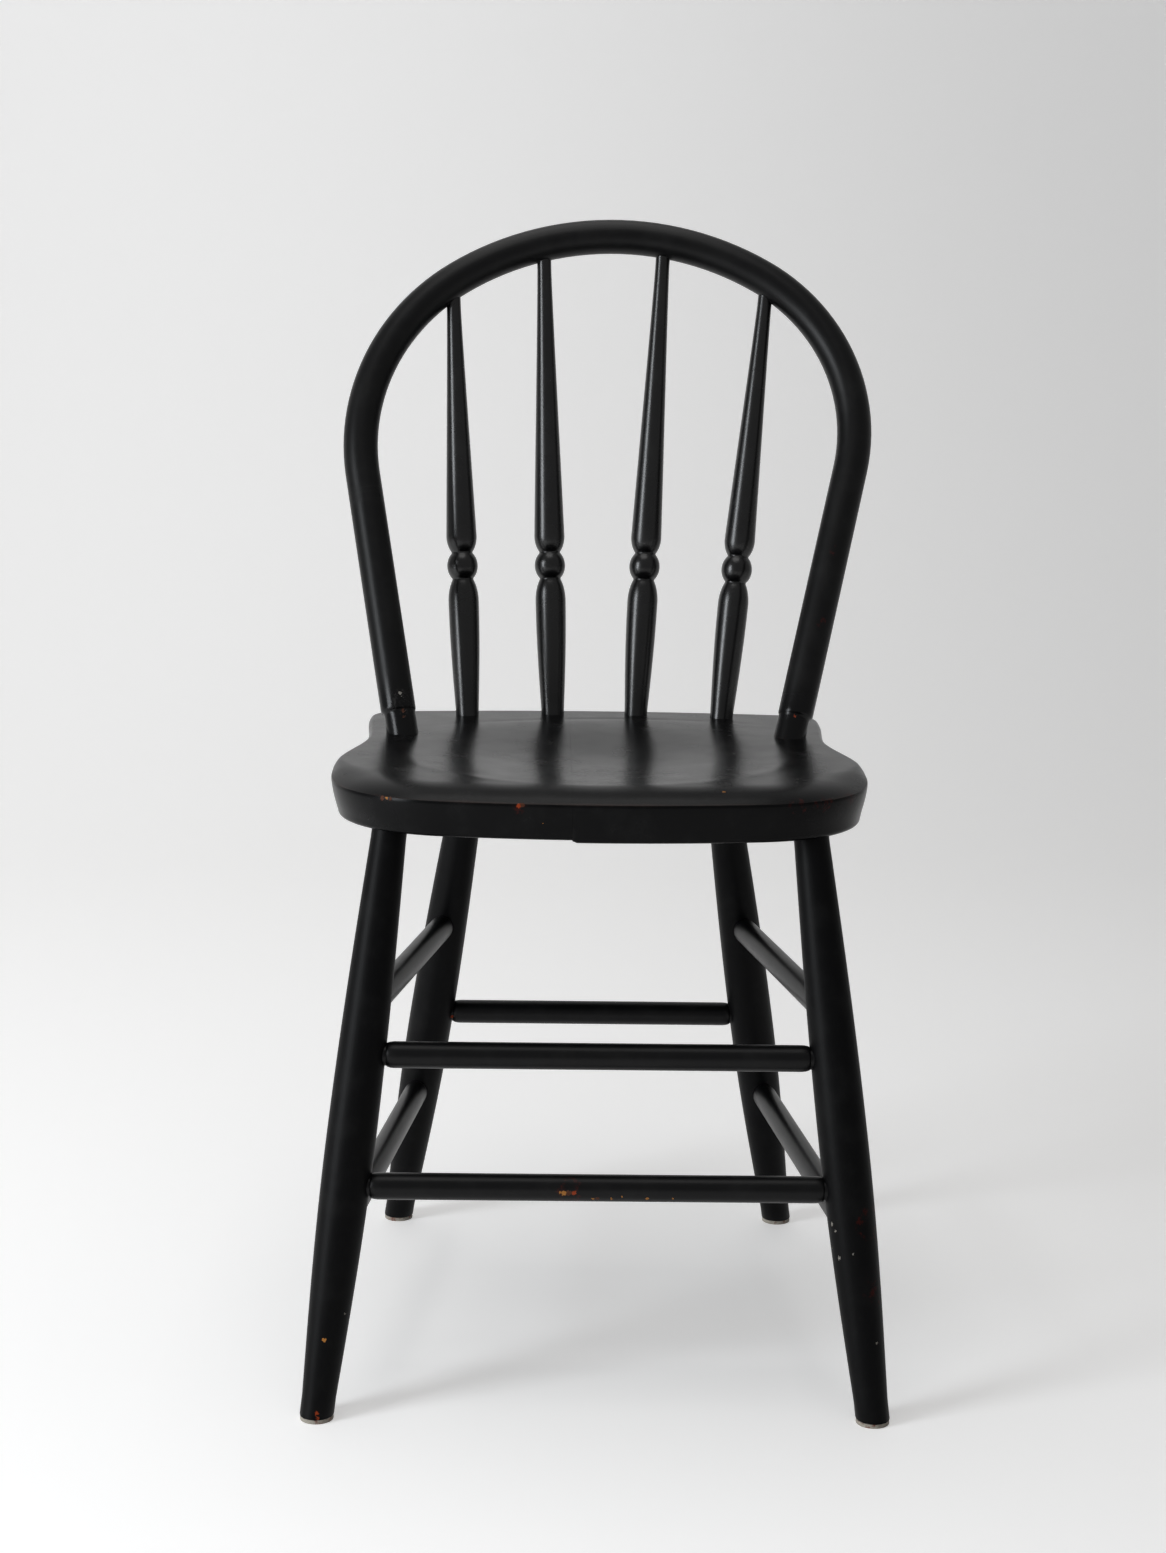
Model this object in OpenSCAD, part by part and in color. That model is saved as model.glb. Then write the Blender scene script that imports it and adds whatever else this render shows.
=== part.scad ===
// Bow-back side chair in turned and bent hardwood, painted black.
// +Z is up, the front faces -Y, and the origin is on the floor below the middle of the chair.

/* [Seat] */
// Height of the seat's deck above the floor
seat_height = 445; // [400:1:500]
// Thickness of the seat boards
seat_thick = 36; // [30:1:45]
// Widest part of the seat, across the front corners
seat_width = 403; // [360:1:450]
// Depth of the seat from its front edge to its back edge
seat_depth = 394; // [350:1:440]
// How far the glue joint between the boards lies left of the middle
seam_offset = 21; // [5:1:60]
// How far the right board's underside hangs below the left one's
board_step = 2; // [0:0.5:3]
// Width taken off each side at the waist beside the back
waist_in = 17; // [5:1:25]
// Width taken off each side at the rear corners
rear_in = 11.5; // [5:0.5:25]
// Radius of the two front corners, seen from above
front_corner_r = 100; // [70:1:110]
// Radius of the two rear corners, seen from above
rear_corner_r = 30; // [20:1:45]
// Radius of the front edge's gentle curve
front_r = 700; // [500:10:1500]
// Radius of the back edge's gentle curve
back_r = 1150; // [700:10:2000]
// Depth of the saddle hollowed in the deck
saddle_depth = 8; // [3:0.5:12]
// Radius of the saddle's rim
saddle_r = 166; // [140:1:175]
// How far the front edge is rolled down below the deck
front_roll = 9; // [5:0.5:12]
// How far the boards' sides slope inwards from top to bottom
undercut = 5; // [2:0.5:9]

/* [Back] */
// Diameter of the bent bow at its feet
bow_d = 28.6; // [26:0.2:34]
// How much thinner the shoulders are than the legs, and the top than the shoulders
bow_thin = 0.2; // [0.1:0.1:1]
// Length from the deck to the top of the bow's centre line, along its slope
bow_rise = 436; // [380:1:500]
// Backward lean of the bow from upright, in degrees
bow_lean = 23; // [12:0.5:28]
// Distance from the middle of the seat to each foot of the bow
bow_foot_x = 158; // [140:1:162]
// Distance of the bow's feet from the back edge of the seat
bow_foot_in = 130; // [115:1:145]
// Farthest reach of the bow's centre line to the left
bow_left = 198; // [185:1:215]
// Farthest reach of the bow's centre line to the right, where the bend is fuller
bow_right = 214; // [190:1:225]
// Radius of the bow's top arc
bow_top_r = 240; // [230:1:270]
// Radius of the bow's left shoulder
bow_left_r = 175; // [150:1:185]
// Radius of the bow's right shoulder
bow_right_r = 159; // [140:1:175]
// Sideways offset of the top arc, left by the uneven bend
bow_top_x = 13; // [-5:1:20]
// Diameter of the neck pared on each foot of the bow
bow_neck_d = 25.5; // [20:0.5:27]
// Length of that neck above the deck
bow_neck_h = 17; // [10:1:30]

/* [Spindles] */
// Distance of the two inner spindles from the middle, at the seat
inner_foot_x = 35.5; // [25:0.5:50]
// Distance of the two outer spindles from the middle, at the seat
outer_foot_x = 108; // [90:1:118]
// Distance of the inner spindles from the back edge, at the seat
inner_foot_in = 18; // [15:1:30]
// Distance of the outer spindles from the back edge, at the seat
outer_foot_in = 30; // [26:1:45]
// Places across the bow where the spindles enter it, from left to right
spindle_top_x = [-124, -47.5, 54.5, 142];
// Diameter where a spindle enters the seat
spindle_foot_d = 19.5; // [16:0.5:22]
// Diameter at the fullest part of the lower and upper turnings
spindle_full_d = 25.8; // [21:0.2:30]
// Diameter of the necks on each side of the bead
spindle_neck_d = 18; // [14:0.5:20]
// Diameter of the bead between the necks
bead_d = 26; // [20:0.2:28]
// Height of the bead's middle above the deck
bead_z = 126; // [110:1:150]
// Diameter where a spindle enters the bow
spindle_top_d = 12; // [10:0.5:14]

/* [Legs] */
// Diameter at a leg's fullest part
leg_d = 36; // [32:0.5:42]
// Diameter of a leg at its foot
leg_foot_d = 24.5; // [20:0.5:28]
// Diameter of a leg where it enters the seat
leg_top_d = 26; // [22:0.5:30]
// Height of the fullest part above the floor
leg_full_z = 188; // [160:1:230]
// Distance of a front foot's axis from the middle, at the floor
front_foot_x = 199.5; // [180:0.5:215]
// Distance of the front feet's axes in front of the seat's centre
front_foot_y = 260; // [230:1:275]
// Distance of a front leg's axis from the middle, under the seat
front_top_x = 154; // [140:1:160]
// Distance of a front leg's axis behind the seat's front edge, under the seat
front_top_in = 48; // [42:1:70]
// Distance of a rear foot's axis from the middle, at the floor
rear_foot_x = 166; // [150:1:185]
// Distance of the rear feet's axes behind the seat's centre
rear_foot_y = 159; // [140:1:185]
// Distance of a rear leg's axis from the middle, under the seat
rear_top_x = 102; // [90:1:115]
// Distance of a rear leg's axis in front of the seat's back edge, under the seat
rear_top_in = 132; // [110:1:145]

/* [Stretchers] */
// Diameter of the stretchers
stretcher_d = 19.5; // [17:0.5:22]
// Height of the upper front stretcher
front_upper_z = 250; // [235:1:255]
// Height of the lower front stretcher
front_lower_z = 159; // [150:1:175]
// Height of the rear stretcher
rear_z = 199; // [165:1:240]
// Height of the upper side stretchers
side_upper_z = 281; // [276:1:300]
// Height of the lower side stretchers
side_lower_z = 129; // [110:1:131]

/* [Joints and feet] */
// Gap left for glue round every tenon
glue_gap = 0.1; // [0.05:0.05:0.3]
// Depth of the leg and bow tenons in the seat
seat_tenon = 24; // [18:1:26]
// Depth of the spindle tenons in the seat
spindle_tenon = 20; // [14:1:24]
// How far short of the bow's centre line the spindles' ends stop
bow_tenon = 2; // [0:0.5:5]
// Diameter of the stretchers' tenons
stretcher_tenon_d = 16; // [13:0.5:17]
// How far a stretcher's tenon passes a leg's axis
stretcher_pass = 4; // [0:0.5:6]
// Thickness of the felt pads under the legs
pad_h = 3; // [2:0.5:5]
// Diameter of the felt pads
pad_d = 24; // [18:0.5:28]

/* [Hidden] */
black = [0.06, 0.06, 0.065];
cream = [0.8, 0.74, 0.62];
$fn = 64;

half_w = seat_width / 2;
front_y = -seat_depth / 2;
back_y = seat_depth / 2;
seat_base = seat_height - seat_thick;

// Corner arcs that touch the front edge's arc and the back edge's arc from inside
front_cx = half_w - front_corner_r;
front_cy = front_y + front_r - sqrt(pow(front_r - front_corner_r, 2) - pow(front_cx, 2));
front_a = atan2(front_cx, front_y + front_r - front_cy);
rear_w = half_w - rear_in;
rear_cx = rear_w - rear_corner_r;
rear_cy = back_y - back_r + sqrt(pow(back_r - rear_corner_r, 2) - pow(rear_cx, 2));
rear_a = atan2(rear_cx, rear_cy - back_y + back_r);

// The sides run straight back from the front corners to flare_y, then in to the waist at waist_y
flare_run = 17;
waist_back = 12;
flare_y = front_cy + flare_run;
waist_y = (flare_y + rear_cy) / 2 + waist_back;

// Half of a cosine wave from a to b as t goes from 0 to 1
function ease(a, b, t) = a + (b - a) * (1 - cos(180 * t)) / 2;

// One side of the seat's outline, from the middle of the front to the middle of the back
half_outline = concat(
    [for (i = [0:3]) let (a = front_a * (i + 0.5) / 4) [front_r * sin(a), front_y + front_r * (1 - cos(a))]],
    [for (i = [0:8]) let (a = front_a + (90 - front_a) * i / 8)
        [front_cx + front_corner_r * sin(a), front_cy - front_corner_r * cos(a)]],
    [for (i = [0:7])
        [ease(half_w, half_w - waist_in, i / 8), flare_y + (waist_y - flare_y) * i / 8]],
    [for (i = [0:5])
        [ease(half_w - waist_in, rear_w, i / 6), waist_y + (rear_cy - waist_y) * i / 6]],
    [for (i = [0:6]) let (a = 90 - (90 - rear_a) * i / 6)
        [rear_cx + rear_corner_r * sin(a), rear_cy + rear_corner_r * cos(a)]],
    [for (i = [1:4]) let (a = rear_a * (1 - (i - 0.5) / 4))
        [back_r * sin(a), back_y - back_r * (1 - cos(a))]]);
half_n = len(half_outline);
outline = concat(half_outline,
    [for (i = [1:half_n]) let (p = half_outline[half_n - i]) [-p[0], p[1]]]);
seat_n = len(outline);

// Points of the outline moved inwards, square to the edge
function inset(i, d) =
    let (a = outline[(i + seat_n - 1) % seat_n], b = outline[(i + 1) % seat_n])
    let (t = (b - a) / norm(b - a))
    outline[i] + d * [-t[1], t[0]];

// How much of the front roll an edge point gets, from 0 at the sides to 1 at the front
roll_end_y = front_cy + 40;
roll_fade = 90;
function roll_share(y) = ease(0, 1, min(1, max(0, (roll_end_y - y) / roll_fade)));

// Height of the deck with the saddle hollowed in it
saddle_front = 14;
saddle_y = front_y + saddle_front + saddle_r;
function deck(p) =
    let (r = min(1, norm([p[0], p[1] - saddle_y]) / saddle_r))
    seat_height - saddle_depth * (1 + cos(180 * r)) / 2;

// Rings of points round the seat: the rounded lower edge, the undercut side, the arris with its
// narrow upright band, the roll up to the deck, and then smaller and smaller rings into the saddle
edge_round = 4;
roll_w = 30;
foot_round = 4;
arris_band = 2;
roll_mid = 0.4;
roll_mid_rise = 0.68;
edge_rings = 6;
saddle_rings = 5;
seat_rings = edge_rings + saddle_rings - 1;
function seat_ring(i, k, base_z) =
    let (w = roll_share(outline[i][1]))
    let (arris = seat_height - edge_round - (front_roll - edge_round) * w)
    let (width = edge_round + roll_w * w, top = inset(i, width), mid = inset(i, width * roll_mid))
    let (low = inset(i, undercut), base = inset(i, undercut + foot_round), p = outline[i])
    let (s = (seat_rings - k) / saddle_rings, q = [top[0] * s, saddle_y + (top[1] - saddle_y) * s])
    k == 0 ? [base[0], base[1], base_z]
    : k == 1 ? [low[0], low[1], base_z + foot_round]
    : k == 2 ? [p[0], p[1], arris - arris_band]
    : k == 3 ? [p[0], p[1], arris]
    : k == 4 ? [mid[0], mid[1], arris + (deck(top) - arris) * roll_mid_rise]
    : [q[0], q[1], deck(q)];

// The whole seat before it is parted at the glue joint, with its underside at base_z
module seat_blank(base_z) {
    points = concat([for (k = [0:seat_rings - 1]) for (i = [0:seat_n - 1]) seat_ring(i, k, base_z)],
        [[0, 0, base_z], [0, saddle_y, deck([0, saddle_y])]]);
    base_mid = seat_rings * seat_n;
    last = base_mid - seat_n;
    faces = concat(
        [for (i = [0:seat_n - 1]) [base_mid, i, (i + 1) % seat_n]],
        [for (k = [0:seat_rings - 2]) for (i = [0:seat_n - 1]) for (h = [0, 1])
            let (j = (i + 1) % seat_n, a = k * seat_n, b = a + seat_n)
            h == 0 ? [a + i, b + i, a + j] : [a + j, b + i, b + j]],
        [for (i = [0:seat_n - 1]) [base_mid + 1, last + (i + 1) % seat_n, last + i]]);
    polyhedron(points, faces);
}

// The bow's plane starts at its feet on the deck and leans back
bow_y = back_y - bow_foot_in;
module on_bow_plane() translate([0, bow_y, seat_height]) rotate([90 - bow_lean, 0, 0]) children();
function bow_point(u, v) = [u, bow_y + v * sin(bow_lean), seat_height + v * cos(bow_lean)];
top_cy = bow_rise - bow_top_r;
left_cx = bow_left_r - bow_left;
left_cy = top_cy + sqrt(pow(bow_top_r - bow_left_r, 2) - pow(bow_top_x - left_cx, 2));
right_cx = bow_right - bow_right_r;
right_cy = top_cy + sqrt(pow(bow_top_r - bow_right_r, 2) - pow(right_cx - bow_top_x, 2));
left_join = atan2(left_cy - top_cy, left_cx - bow_top_x);
right_join = atan2(right_cy - top_cy, right_cx - bow_top_x);

// Direction from a foot to where its straight leg touches the shoulder's circle
function leg_turn(dx, dy, r) = atan2(dy, dx) - asin(r / norm([dx, dy]));
right_dir = leg_turn(right_cx - bow_foot_x, right_cy, bow_right_r);
left_dir = 180 - leg_turn(-left_cx - bow_foot_x, left_cy, bow_left_r);
right_leg = sqrt(pow(norm([right_cx - bow_foot_x, right_cy]), 2) - pow(bow_right_r, 2));
left_leg = sqrt(pow(norm([left_cx + bow_foot_x, left_cy]), 2) - pow(bow_left_r, 2));

// Height up the bow's plane of its centre line above a place across it
function bow_v(u) =
    u > bow_top_x + bow_top_r * cos(right_join) ? right_cy + sqrt(pow(bow_right_r, 2) - pow(u - right_cx, 2))
    : u < bow_top_x + bow_top_r * cos(left_join) ? left_cy + sqrt(pow(bow_left_r, 2) - pow(u - left_cx, 2))
    : top_cy + sqrt(pow(bow_top_r, 2) - pow(u - bow_top_x, 2));

// A frame whose +Z runs from a to b, turned a little about it so that no round piece's seam
// lies in the plane of its slope
seam_turn = 35;
module along(a, b) {
    d = b - a;
    translate(a) rotate([0, acos(d[2] / norm(d)), atan2(d[1], d[0])]) rotate([0, 0, seam_turn]) children();
}

// Bow feet: the straight leg's axis where it meets the deck, and its direction up the bow's plane
function bow_foot(s) = [s * bow_foot_x, bow_y, seat_height];
function bow_dir(s) = let (a = s > 0 ? right_dir : left_dir) bow_point(cos(a), sin(a)) - bow_point(0, 0);

// Everything is drawn about the seat's centre, then moved so that the origin is under the middle of the chair
chair_mid_x = (bow_right - bow_left) / 2;
chair_mid_y = (bow_y + bow_rise * sin(bow_lean) + bow_d / 2 - front_foot_y - leg_foot_d / 2) / 2;
module placed() translate([-chair_mid_x, -chair_mid_y, 0]) children();

// Spindle feet on the deck and their tops on the bow's centre line
function spindle_foot(i) = let (outer = i == 0 || i == 3, s = i < 2 ? -1 : 1)
    [s * (outer ? outer_foot_x : inner_foot_x),
        back_y - (outer ? outer_foot_in : inner_foot_in), seat_height];
function spindle_top(i) = bow_point(spindle_top_x[i], bow_v(spindle_top_x[i]));
function spindle_len(i) = norm(spindle_top(i) - spindle_foot(i));

// Leg axes, with s = -1 on the left and 1 on the right
function leg_foot(front, s) = front ? [s * front_foot_x, -front_foot_y, 0]
    : [s * rear_foot_x, rear_foot_y, 0];
function leg_top(front, s) = front ? [s * front_top_x, front_y + front_top_in, seat_base]
    : [s * rear_top_x, back_y - rear_top_in, seat_base];
function leg_at(front, s, z) =
    leg_foot(front, s) + (leg_top(front, s) - leg_foot(front, s)) * z / seat_base;
function leg_len(front) = norm(leg_top(front, 1) - leg_foot(front, 1));

// Radius of a leg at a height along it, swelling from a straight foot and tapering to a straight top
foot_straight = 16;
top_straight = 8;
function leg_r(z, len) =
    let (full = leg_full_z * len / seat_base, taper = len - top_straight - full)
    let (swell = (z - foot_straight) / (full - foot_straight))
    z < foot_straight ? leg_foot_d / 2
    : z < full ? leg_foot_d / 2 + (leg_d - leg_foot_d) / 2 * sin(90 * swell)
    : leg_top_d / 2 + (leg_d - leg_top_d) / 2 * cos(90 * (z - full) / taper);

// Stretchers as pairs of leg points: front pair, rear and both sides
function front_span(z) = [leg_at(true, -1, z), leg_at(true, 1, z)];
function rear_span(z) = [leg_at(false, -1, z), leg_at(false, 1, z)];
function side_span(s, z) = [leg_at(true, s, z), leg_at(false, s, z)];
function leg_spans(front, s) = concat(
    front ? [front_span(front_upper_z), front_span(front_lower_z)] : [rear_span(rear_z)],
    [side_span(s, side_upper_z), side_span(s, side_lower_z)]);

// Hollows cut for the tenons of legs, bow feet and spindles
module seat_sockets() {
    for (front = [true, false]) for (s = [-1, 1]) {
        along(leg_top(front, s), 2 * leg_top(front, s) - leg_foot(front, s))
            translate([0, 0, -seat_thick])
                cylinder(d = leg_top_d + 2 * glue_gap, h = seat_thick + seat_tenon);
    }
    for (s = [-1, 1]) along(bow_foot(s), bow_foot(s) - bow_dir(s))
        translate([0, 0, -seat_thick]) cylinder(d = bow_neck_d + 2 * glue_gap, h = seat_thick + seat_tenon);
    for (i = [0:3]) along(spindle_foot(i), 2 * spindle_foot(i) - spindle_top(i))
        translate([0, 0, -seat_thick])
            cylinder(d = spindle_foot_d + 2 * glue_gap, h = seat_thick + spindle_tenon);
}

module seat_left_board() {
    color(black) placed() difference() {
        intersection() {
            seat_blank(seat_base);
            translate([-seat_width, -seat_depth, 0])
                cube([seat_width - seam_offset, 2 * seat_depth, 2 * seat_height]);
        }
        seat_sockets();
    }
}

module seat_right_board() {
    color(black) placed() difference() {
        intersection() {
            seat_blank(seat_base - board_step);
            translate([-seam_offset, -seat_depth, 0]) cube([seat_width, 2 * seat_depth, 2 * seat_height]);
        }
        seat_sockets();
    }
}

// A bent stretch of the bow: an arc of round rod about a centre in the bow's plane,
// run on a little at either end into the thicker stretch that it meets
run_on = 1.5;
module bow_arc(cx, cy, r, a0, a1, d, on0, on1) {
    turn0 = on0 * run_on / r * 180 / PI;
    turn1 = on1 * run_on / r * 180 / PI;
    translate([cx, cy, 0]) rotate([0, 0, a0 - turn0])
        rotate_extrude(angle = a1 - a0 + turn0 + turn1, $fn = 160) translate([r, 0]) circle(d = d);
}

// A bow leg: straight rod above the pared neck, which runs down into the seat as its tenon
module bow_leg(s, len) {
    dir = bow_dir(s);
    foot = bow_foot(s);
    cone = (bow_d - bow_neck_d) / 2;
    along(foot, foot + dir) rotate_extrude() polygon([[0, -seat_tenon], [bow_neck_d / 2, -seat_tenon],
        [bow_neck_d / 2, bow_neck_h], [bow_d / 2, bow_neck_h + cone], [bow_d / 2, len], [0, len]]);
}

module bow() {
    color(black) placed() difference() {
        union() {
            on_bow_plane() {
                bow_arc(bow_top_x, top_cy, bow_top_r, right_join, left_join, bow_d - 2 * bow_thin, 1, 1);
                bow_arc(right_cx, right_cy, bow_right_r, right_dir - 90, right_join, bow_d - bow_thin, 1, 0);
                bow_arc(left_cx, left_cy, bow_left_r, left_join, left_dir + 90, bow_d - bow_thin, 0, 1);
            }
            bow_leg(1, right_leg);
            bow_leg(-1, left_leg);
        }
        for (i = [0:3]) along(spindle_top(i), spindle_foot(i))
            translate([0, 0, bow_tenon]) cylinder(d = spindle_top_d + 2 * glue_gap, h = bow_d);
    }
}

// Radius of a full turning that falls off to a neck on an ellipse as t goes from 0 to 1
function swell(full, neck, t) = full * sqrt(1 - t * t * (1 - pow(neck / full, 2)));

// Half profile of a spindle, from its seat tenon up to its bow tenon
module spindle(i) {
    len = spindle_len(i);
    foot = spindle_foot_d / 2;
    full = spindle_full_d / 2;
    neck = spindle_neck_d / 2;
    tip = spindle_top_d / 2;
    lower_z = bead_z - lower_drop;
    upper_z = bead_z + upper_rise;
    bead_low = bead_z - bead_half;
    bead_high = bead_z + bead_half;
    enter = len - tip_straight;
    profile = concat(
        [[0, -spindle_tenon], [foot, -spindle_tenon], [foot, foot_clear]],
        [for (t = [0.25:0.25:1])
            [foot + (full - foot) * sin(90 * t), foot_clear + (lower_z - foot_clear) * t]],
        [for (t = [0.25:0.25:1])
            [swell(full, neck, t), lower_z + (bead_low - neck_half - lower_z) * t]],
        [for (t = [-1:0.25:1])
            [swell(bead_d / 2, neck, t), bead_z + (bead_half - neck_half) * t]],
        [for (t = [1:-0.25:0])
            [swell(full, neck, t), upper_z + (bead_high + neck_half - upper_z) * t]],
        [for (t = [0.125:0.125:1])
            [tip + (full - tip) * (pow(1 - t, taper_power) + taper_belly * t * (1 - t)),
                upper_z + (enter - upper_z) * t]],
        [[tip, len - bow_tenon], [0, len - bow_tenon]]);
    along(spindle_foot(i), spindle_top(i)) rotate_extrude() polygon(profile);
}

// Straight stretches that let a slanting end run into its socket without rubbing
foot_clear = 3;
tip_clear = 9;
tip_straight = bow_d / 2 + tip_clear;

// How far the fullest turnings lie below and above the bead, half the length of the bead and of
// a neck, and the shape of the long upper taper, which hollows a little towards its tip
lower_drop = 30;
upper_rise = 25;
bead_half = 11.2;
neck_half = 0.6;
taper_power = 1.6;
taper_belly = 0.6;

module spindle_1() { color(black) placed() spindle(0); }
module spindle_2() { color(black) placed() spindle(1); }
module spindle_3() { color(black) placed() spindle(2); }
module spindle_4() { color(black) placed() spindle(3); }

// A turned leg cut level on its pad, with a blind socket for each stretcher that meets it
module leg(front, s) {
    len = leg_len(front);
    foot = leg_foot(front, s);
    top = leg_top(front, s);
    steps = 20;
    swell_len = len - top_straight - foot_straight;
    difference() {
        along(foot, top) rotate_extrude() polygon(concat([[0, -leg_foot_d]],
            [[leg_foot_d / 2, -leg_foot_d], [leg_foot_d / 2, foot_straight]],
            [for (i = [1:steps])
                let (z = foot_straight + swell_len * i / steps) [leg_r(z, len), z]],
            [[leg_top_d / 2, len + seat_tenon], [0, len + seat_tenon]]));
        translate([foot[0] - leg_d, foot[1] - leg_d, pad_h - 4 * leg_d])
            cube([2 * leg_d, 2 * leg_d, 4 * leg_d]);
        for (span = leg_spans(front, s)) stretcher_socket(span, foot, top);
    }
}

// The blind socket of the stretcher end that lies nearer to this leg
module stretcher_socket(span, foot, top) {
    axis = top - foot;
    near = norm(cross(span[0] - foot, axis)) < norm(cross(span[1] - foot, axis)) ? 0 : 1;
    along(span[near], span[1 - near]) translate([0, 0, -stretcher_pass])
        cylinder(d = stretcher_tenon_d + 2 * glue_gap, h = stretcher_pass + leg_d);
}

module front_left_leg() { color(black) placed() leg(true, -1); }
module front_right_leg() { color(black) placed() leg(true, 1); }
module rear_left_leg() { color(black) placed() leg(false, -1); }
module rear_right_leg() { color(black) placed() leg(false, 1); }

// A stretcher: a rod with rounded shoulders and a tenon into each leg
module stretcher(span) {
    len = norm(span[1] - span[0]);
    body = stretcher_d / 2;
    tenon = stretcher_tenon_d / 2;
    shoulder = leg_d / 2 + shoulder_clear;
    rise = 5;
    end = [for (t = [0:0.25:1]) [tenon + (body - tenon) * sin(90 * t), shoulder + rise * (1 - cos(90 * t))]];
    along(span[0], span[1]) rotate_extrude() polygon(concat(
        [[0, -stretcher_pass], [tenon, -stretcher_pass]], end,
        [for (i = [1:5]) [end[5 - i][0], len - end[5 - i][1]]],
        [[tenon, len + stretcher_pass], [0, len + stretcher_pass]]));
}

// Room between a stretcher's shoulder and the side of a leg, which leans
leg_lean = acos(seat_base / max(leg_len(true), leg_len(false)));
shoulder_gap = 0.2;
shoulder_clear = leg_d / 2 * (1 / cos(leg_lean) - 1) + stretcher_d / 2 * tan(leg_lean) + shoulder_gap;

module front_upper_stretcher() { color(black) placed() stretcher(front_span(front_upper_z)); }
module front_lower_stretcher() { color(black) placed() stretcher(front_span(front_lower_z)); }
module rear_stretcher() { color(black) placed() stretcher(rear_span(rear_z)); }
module left_upper_stretcher() { color(black) placed() stretcher(side_span(-1, side_upper_z)); }
module left_lower_stretcher() { color(black) placed() stretcher(side_span(-1, side_lower_z)); }
module right_upper_stretcher() { color(black) placed() stretcher(side_span(1, side_upper_z)); }
module right_lower_stretcher() { color(black) placed() stretcher(side_span(1, side_lower_z)); }

// A felt pad glued under a leg's level end
module pad(front, s) {
    at = leg_at(front, s, pad_h);
    translate([at[0], at[1], 0]) cylinder(d = pad_d, h = pad_h);
}

module front_left_pad() { color(cream) placed() pad(true, -1); }
module front_right_pad() { color(cream) placed() pad(true, 1); }
module rear_left_pad() { color(cream) placed() pad(false, -1); }
module rear_right_pad() { color(cream) placed() pad(false, 1); }

seat_left_board();
seat_right_board();
bow();
spindle_1();
spindle_2();
spindle_3();
spindle_4();
front_left_leg();
front_right_leg();
rear_left_leg();
rear_right_leg();
front_upper_stretcher();
front_lower_stretcher();
rear_stretcher();
left_upper_stretcher();
left_lower_stretcher();
right_upper_stretcher();
right_lower_stretcher();
front_left_pad();
front_right_pad();
rear_left_pad();
rear_right_pad();
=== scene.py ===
# %% [markdown]
# # A bow-back side chair in worn black paint
# The chair is a saddled seat of two glued boards, a bow bent in one piece, four turned
# spindles, four turned legs and seven stretchers. The construction model already gives every
# piece its place and size. This lesson gives each piece its finished surface and its paint.

# %% Load the construction model
import math

import bmesh
import bpy
from mathutils import Matrix, Vector, noise


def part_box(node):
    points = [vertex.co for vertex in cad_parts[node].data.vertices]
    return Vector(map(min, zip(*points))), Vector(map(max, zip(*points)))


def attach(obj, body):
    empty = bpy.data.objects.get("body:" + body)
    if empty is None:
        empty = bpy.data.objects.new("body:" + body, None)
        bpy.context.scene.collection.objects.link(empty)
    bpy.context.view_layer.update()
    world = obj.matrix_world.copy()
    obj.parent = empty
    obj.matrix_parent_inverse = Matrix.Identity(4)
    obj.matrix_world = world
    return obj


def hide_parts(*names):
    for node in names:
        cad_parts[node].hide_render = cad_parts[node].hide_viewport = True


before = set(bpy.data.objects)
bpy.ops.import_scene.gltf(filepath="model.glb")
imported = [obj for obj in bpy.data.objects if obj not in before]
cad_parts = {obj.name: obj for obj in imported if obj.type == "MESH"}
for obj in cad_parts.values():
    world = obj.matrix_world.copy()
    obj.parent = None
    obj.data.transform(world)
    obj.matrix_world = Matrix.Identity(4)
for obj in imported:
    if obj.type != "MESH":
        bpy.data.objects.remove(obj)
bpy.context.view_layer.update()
MM = 0.001

# %% [markdown]
# ## The camera
# The chair is seen from the front, a little from above and a few centimetres left of its
# middle, with a moderately long lens. The camera could be aimed with a constraint. It is
# turned with its three given angles here, because they are known and nothing else has to move.

# %% Camera
camera_data = bpy.data.cameras.new("camera")
camera_data.sensor_fit = "VERTICAL"
camera_data.sensor_height = 36
camera_data.lens = 59.11
camera = bpy.data.objects.new("camera", camera_data)
camera.location = (-0.04635, -1.9677, 0.7739)
camera.rotation_euler = [math.radians(a) for a in (79.915, -0.766, -0.647)]
bpy.context.collection.objects.link(camera)
bpy.context.scene.camera = camera
print("camera at", [round(c, 3) for c in camera.location])

# %% [markdown]
# ## Finding a round piece's axis
# A leg or a spindle leans, so its box alone doesn't say where its axis runs. The points of
# the construction mesh do: those at each end form a ring, and the ring's middle lies on the
# axis. The leans could be typed in, but measuring them keeps each piece true to the model.
# The direction is found a few times over, each time from a better start.

# %% Read axes from the construction mesh
END_BAND, TOP_BAND, TRIES = 4 * MM, 2 * MM, 4  # slices that count as an end's ring, and rounds


def ring_middle(points):
    lows = [min(p[i] for p in points) for i in range(3)]
    highs = [max(p[i] for p in points) for i in range(3)]
    return Vector((a + b) / 2 for a, b in zip(lows, highs))


def axis_of(node):
    points = [v.co.copy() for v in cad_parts[node].data.vertices]
    box_low, box_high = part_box(node)
    spans = [b - a for a, b in zip(box_low, box_high)]
    longest = spans.index(max(spans))
    direction = Vector(1.0 if i == longest else 0.0 for i in range(3))
    for _ in range(TRIES):
        along = [p.dot(direction) for p in points]
        first, last = min(along), max(along)
        start = ring_middle([p for p, s in zip(points, along) if s < first + END_BAND])
        end = ring_middle([p for p, s in zip(points, along) if s > last - END_BAND])
        direction = (end - start).normalized()
    along = [p.dot(direction) for p in points]
    start += direction * (min(along) - start.dot(direction))
    end += direction * (max(along) - end.dot(direction))
    return start, end


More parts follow.
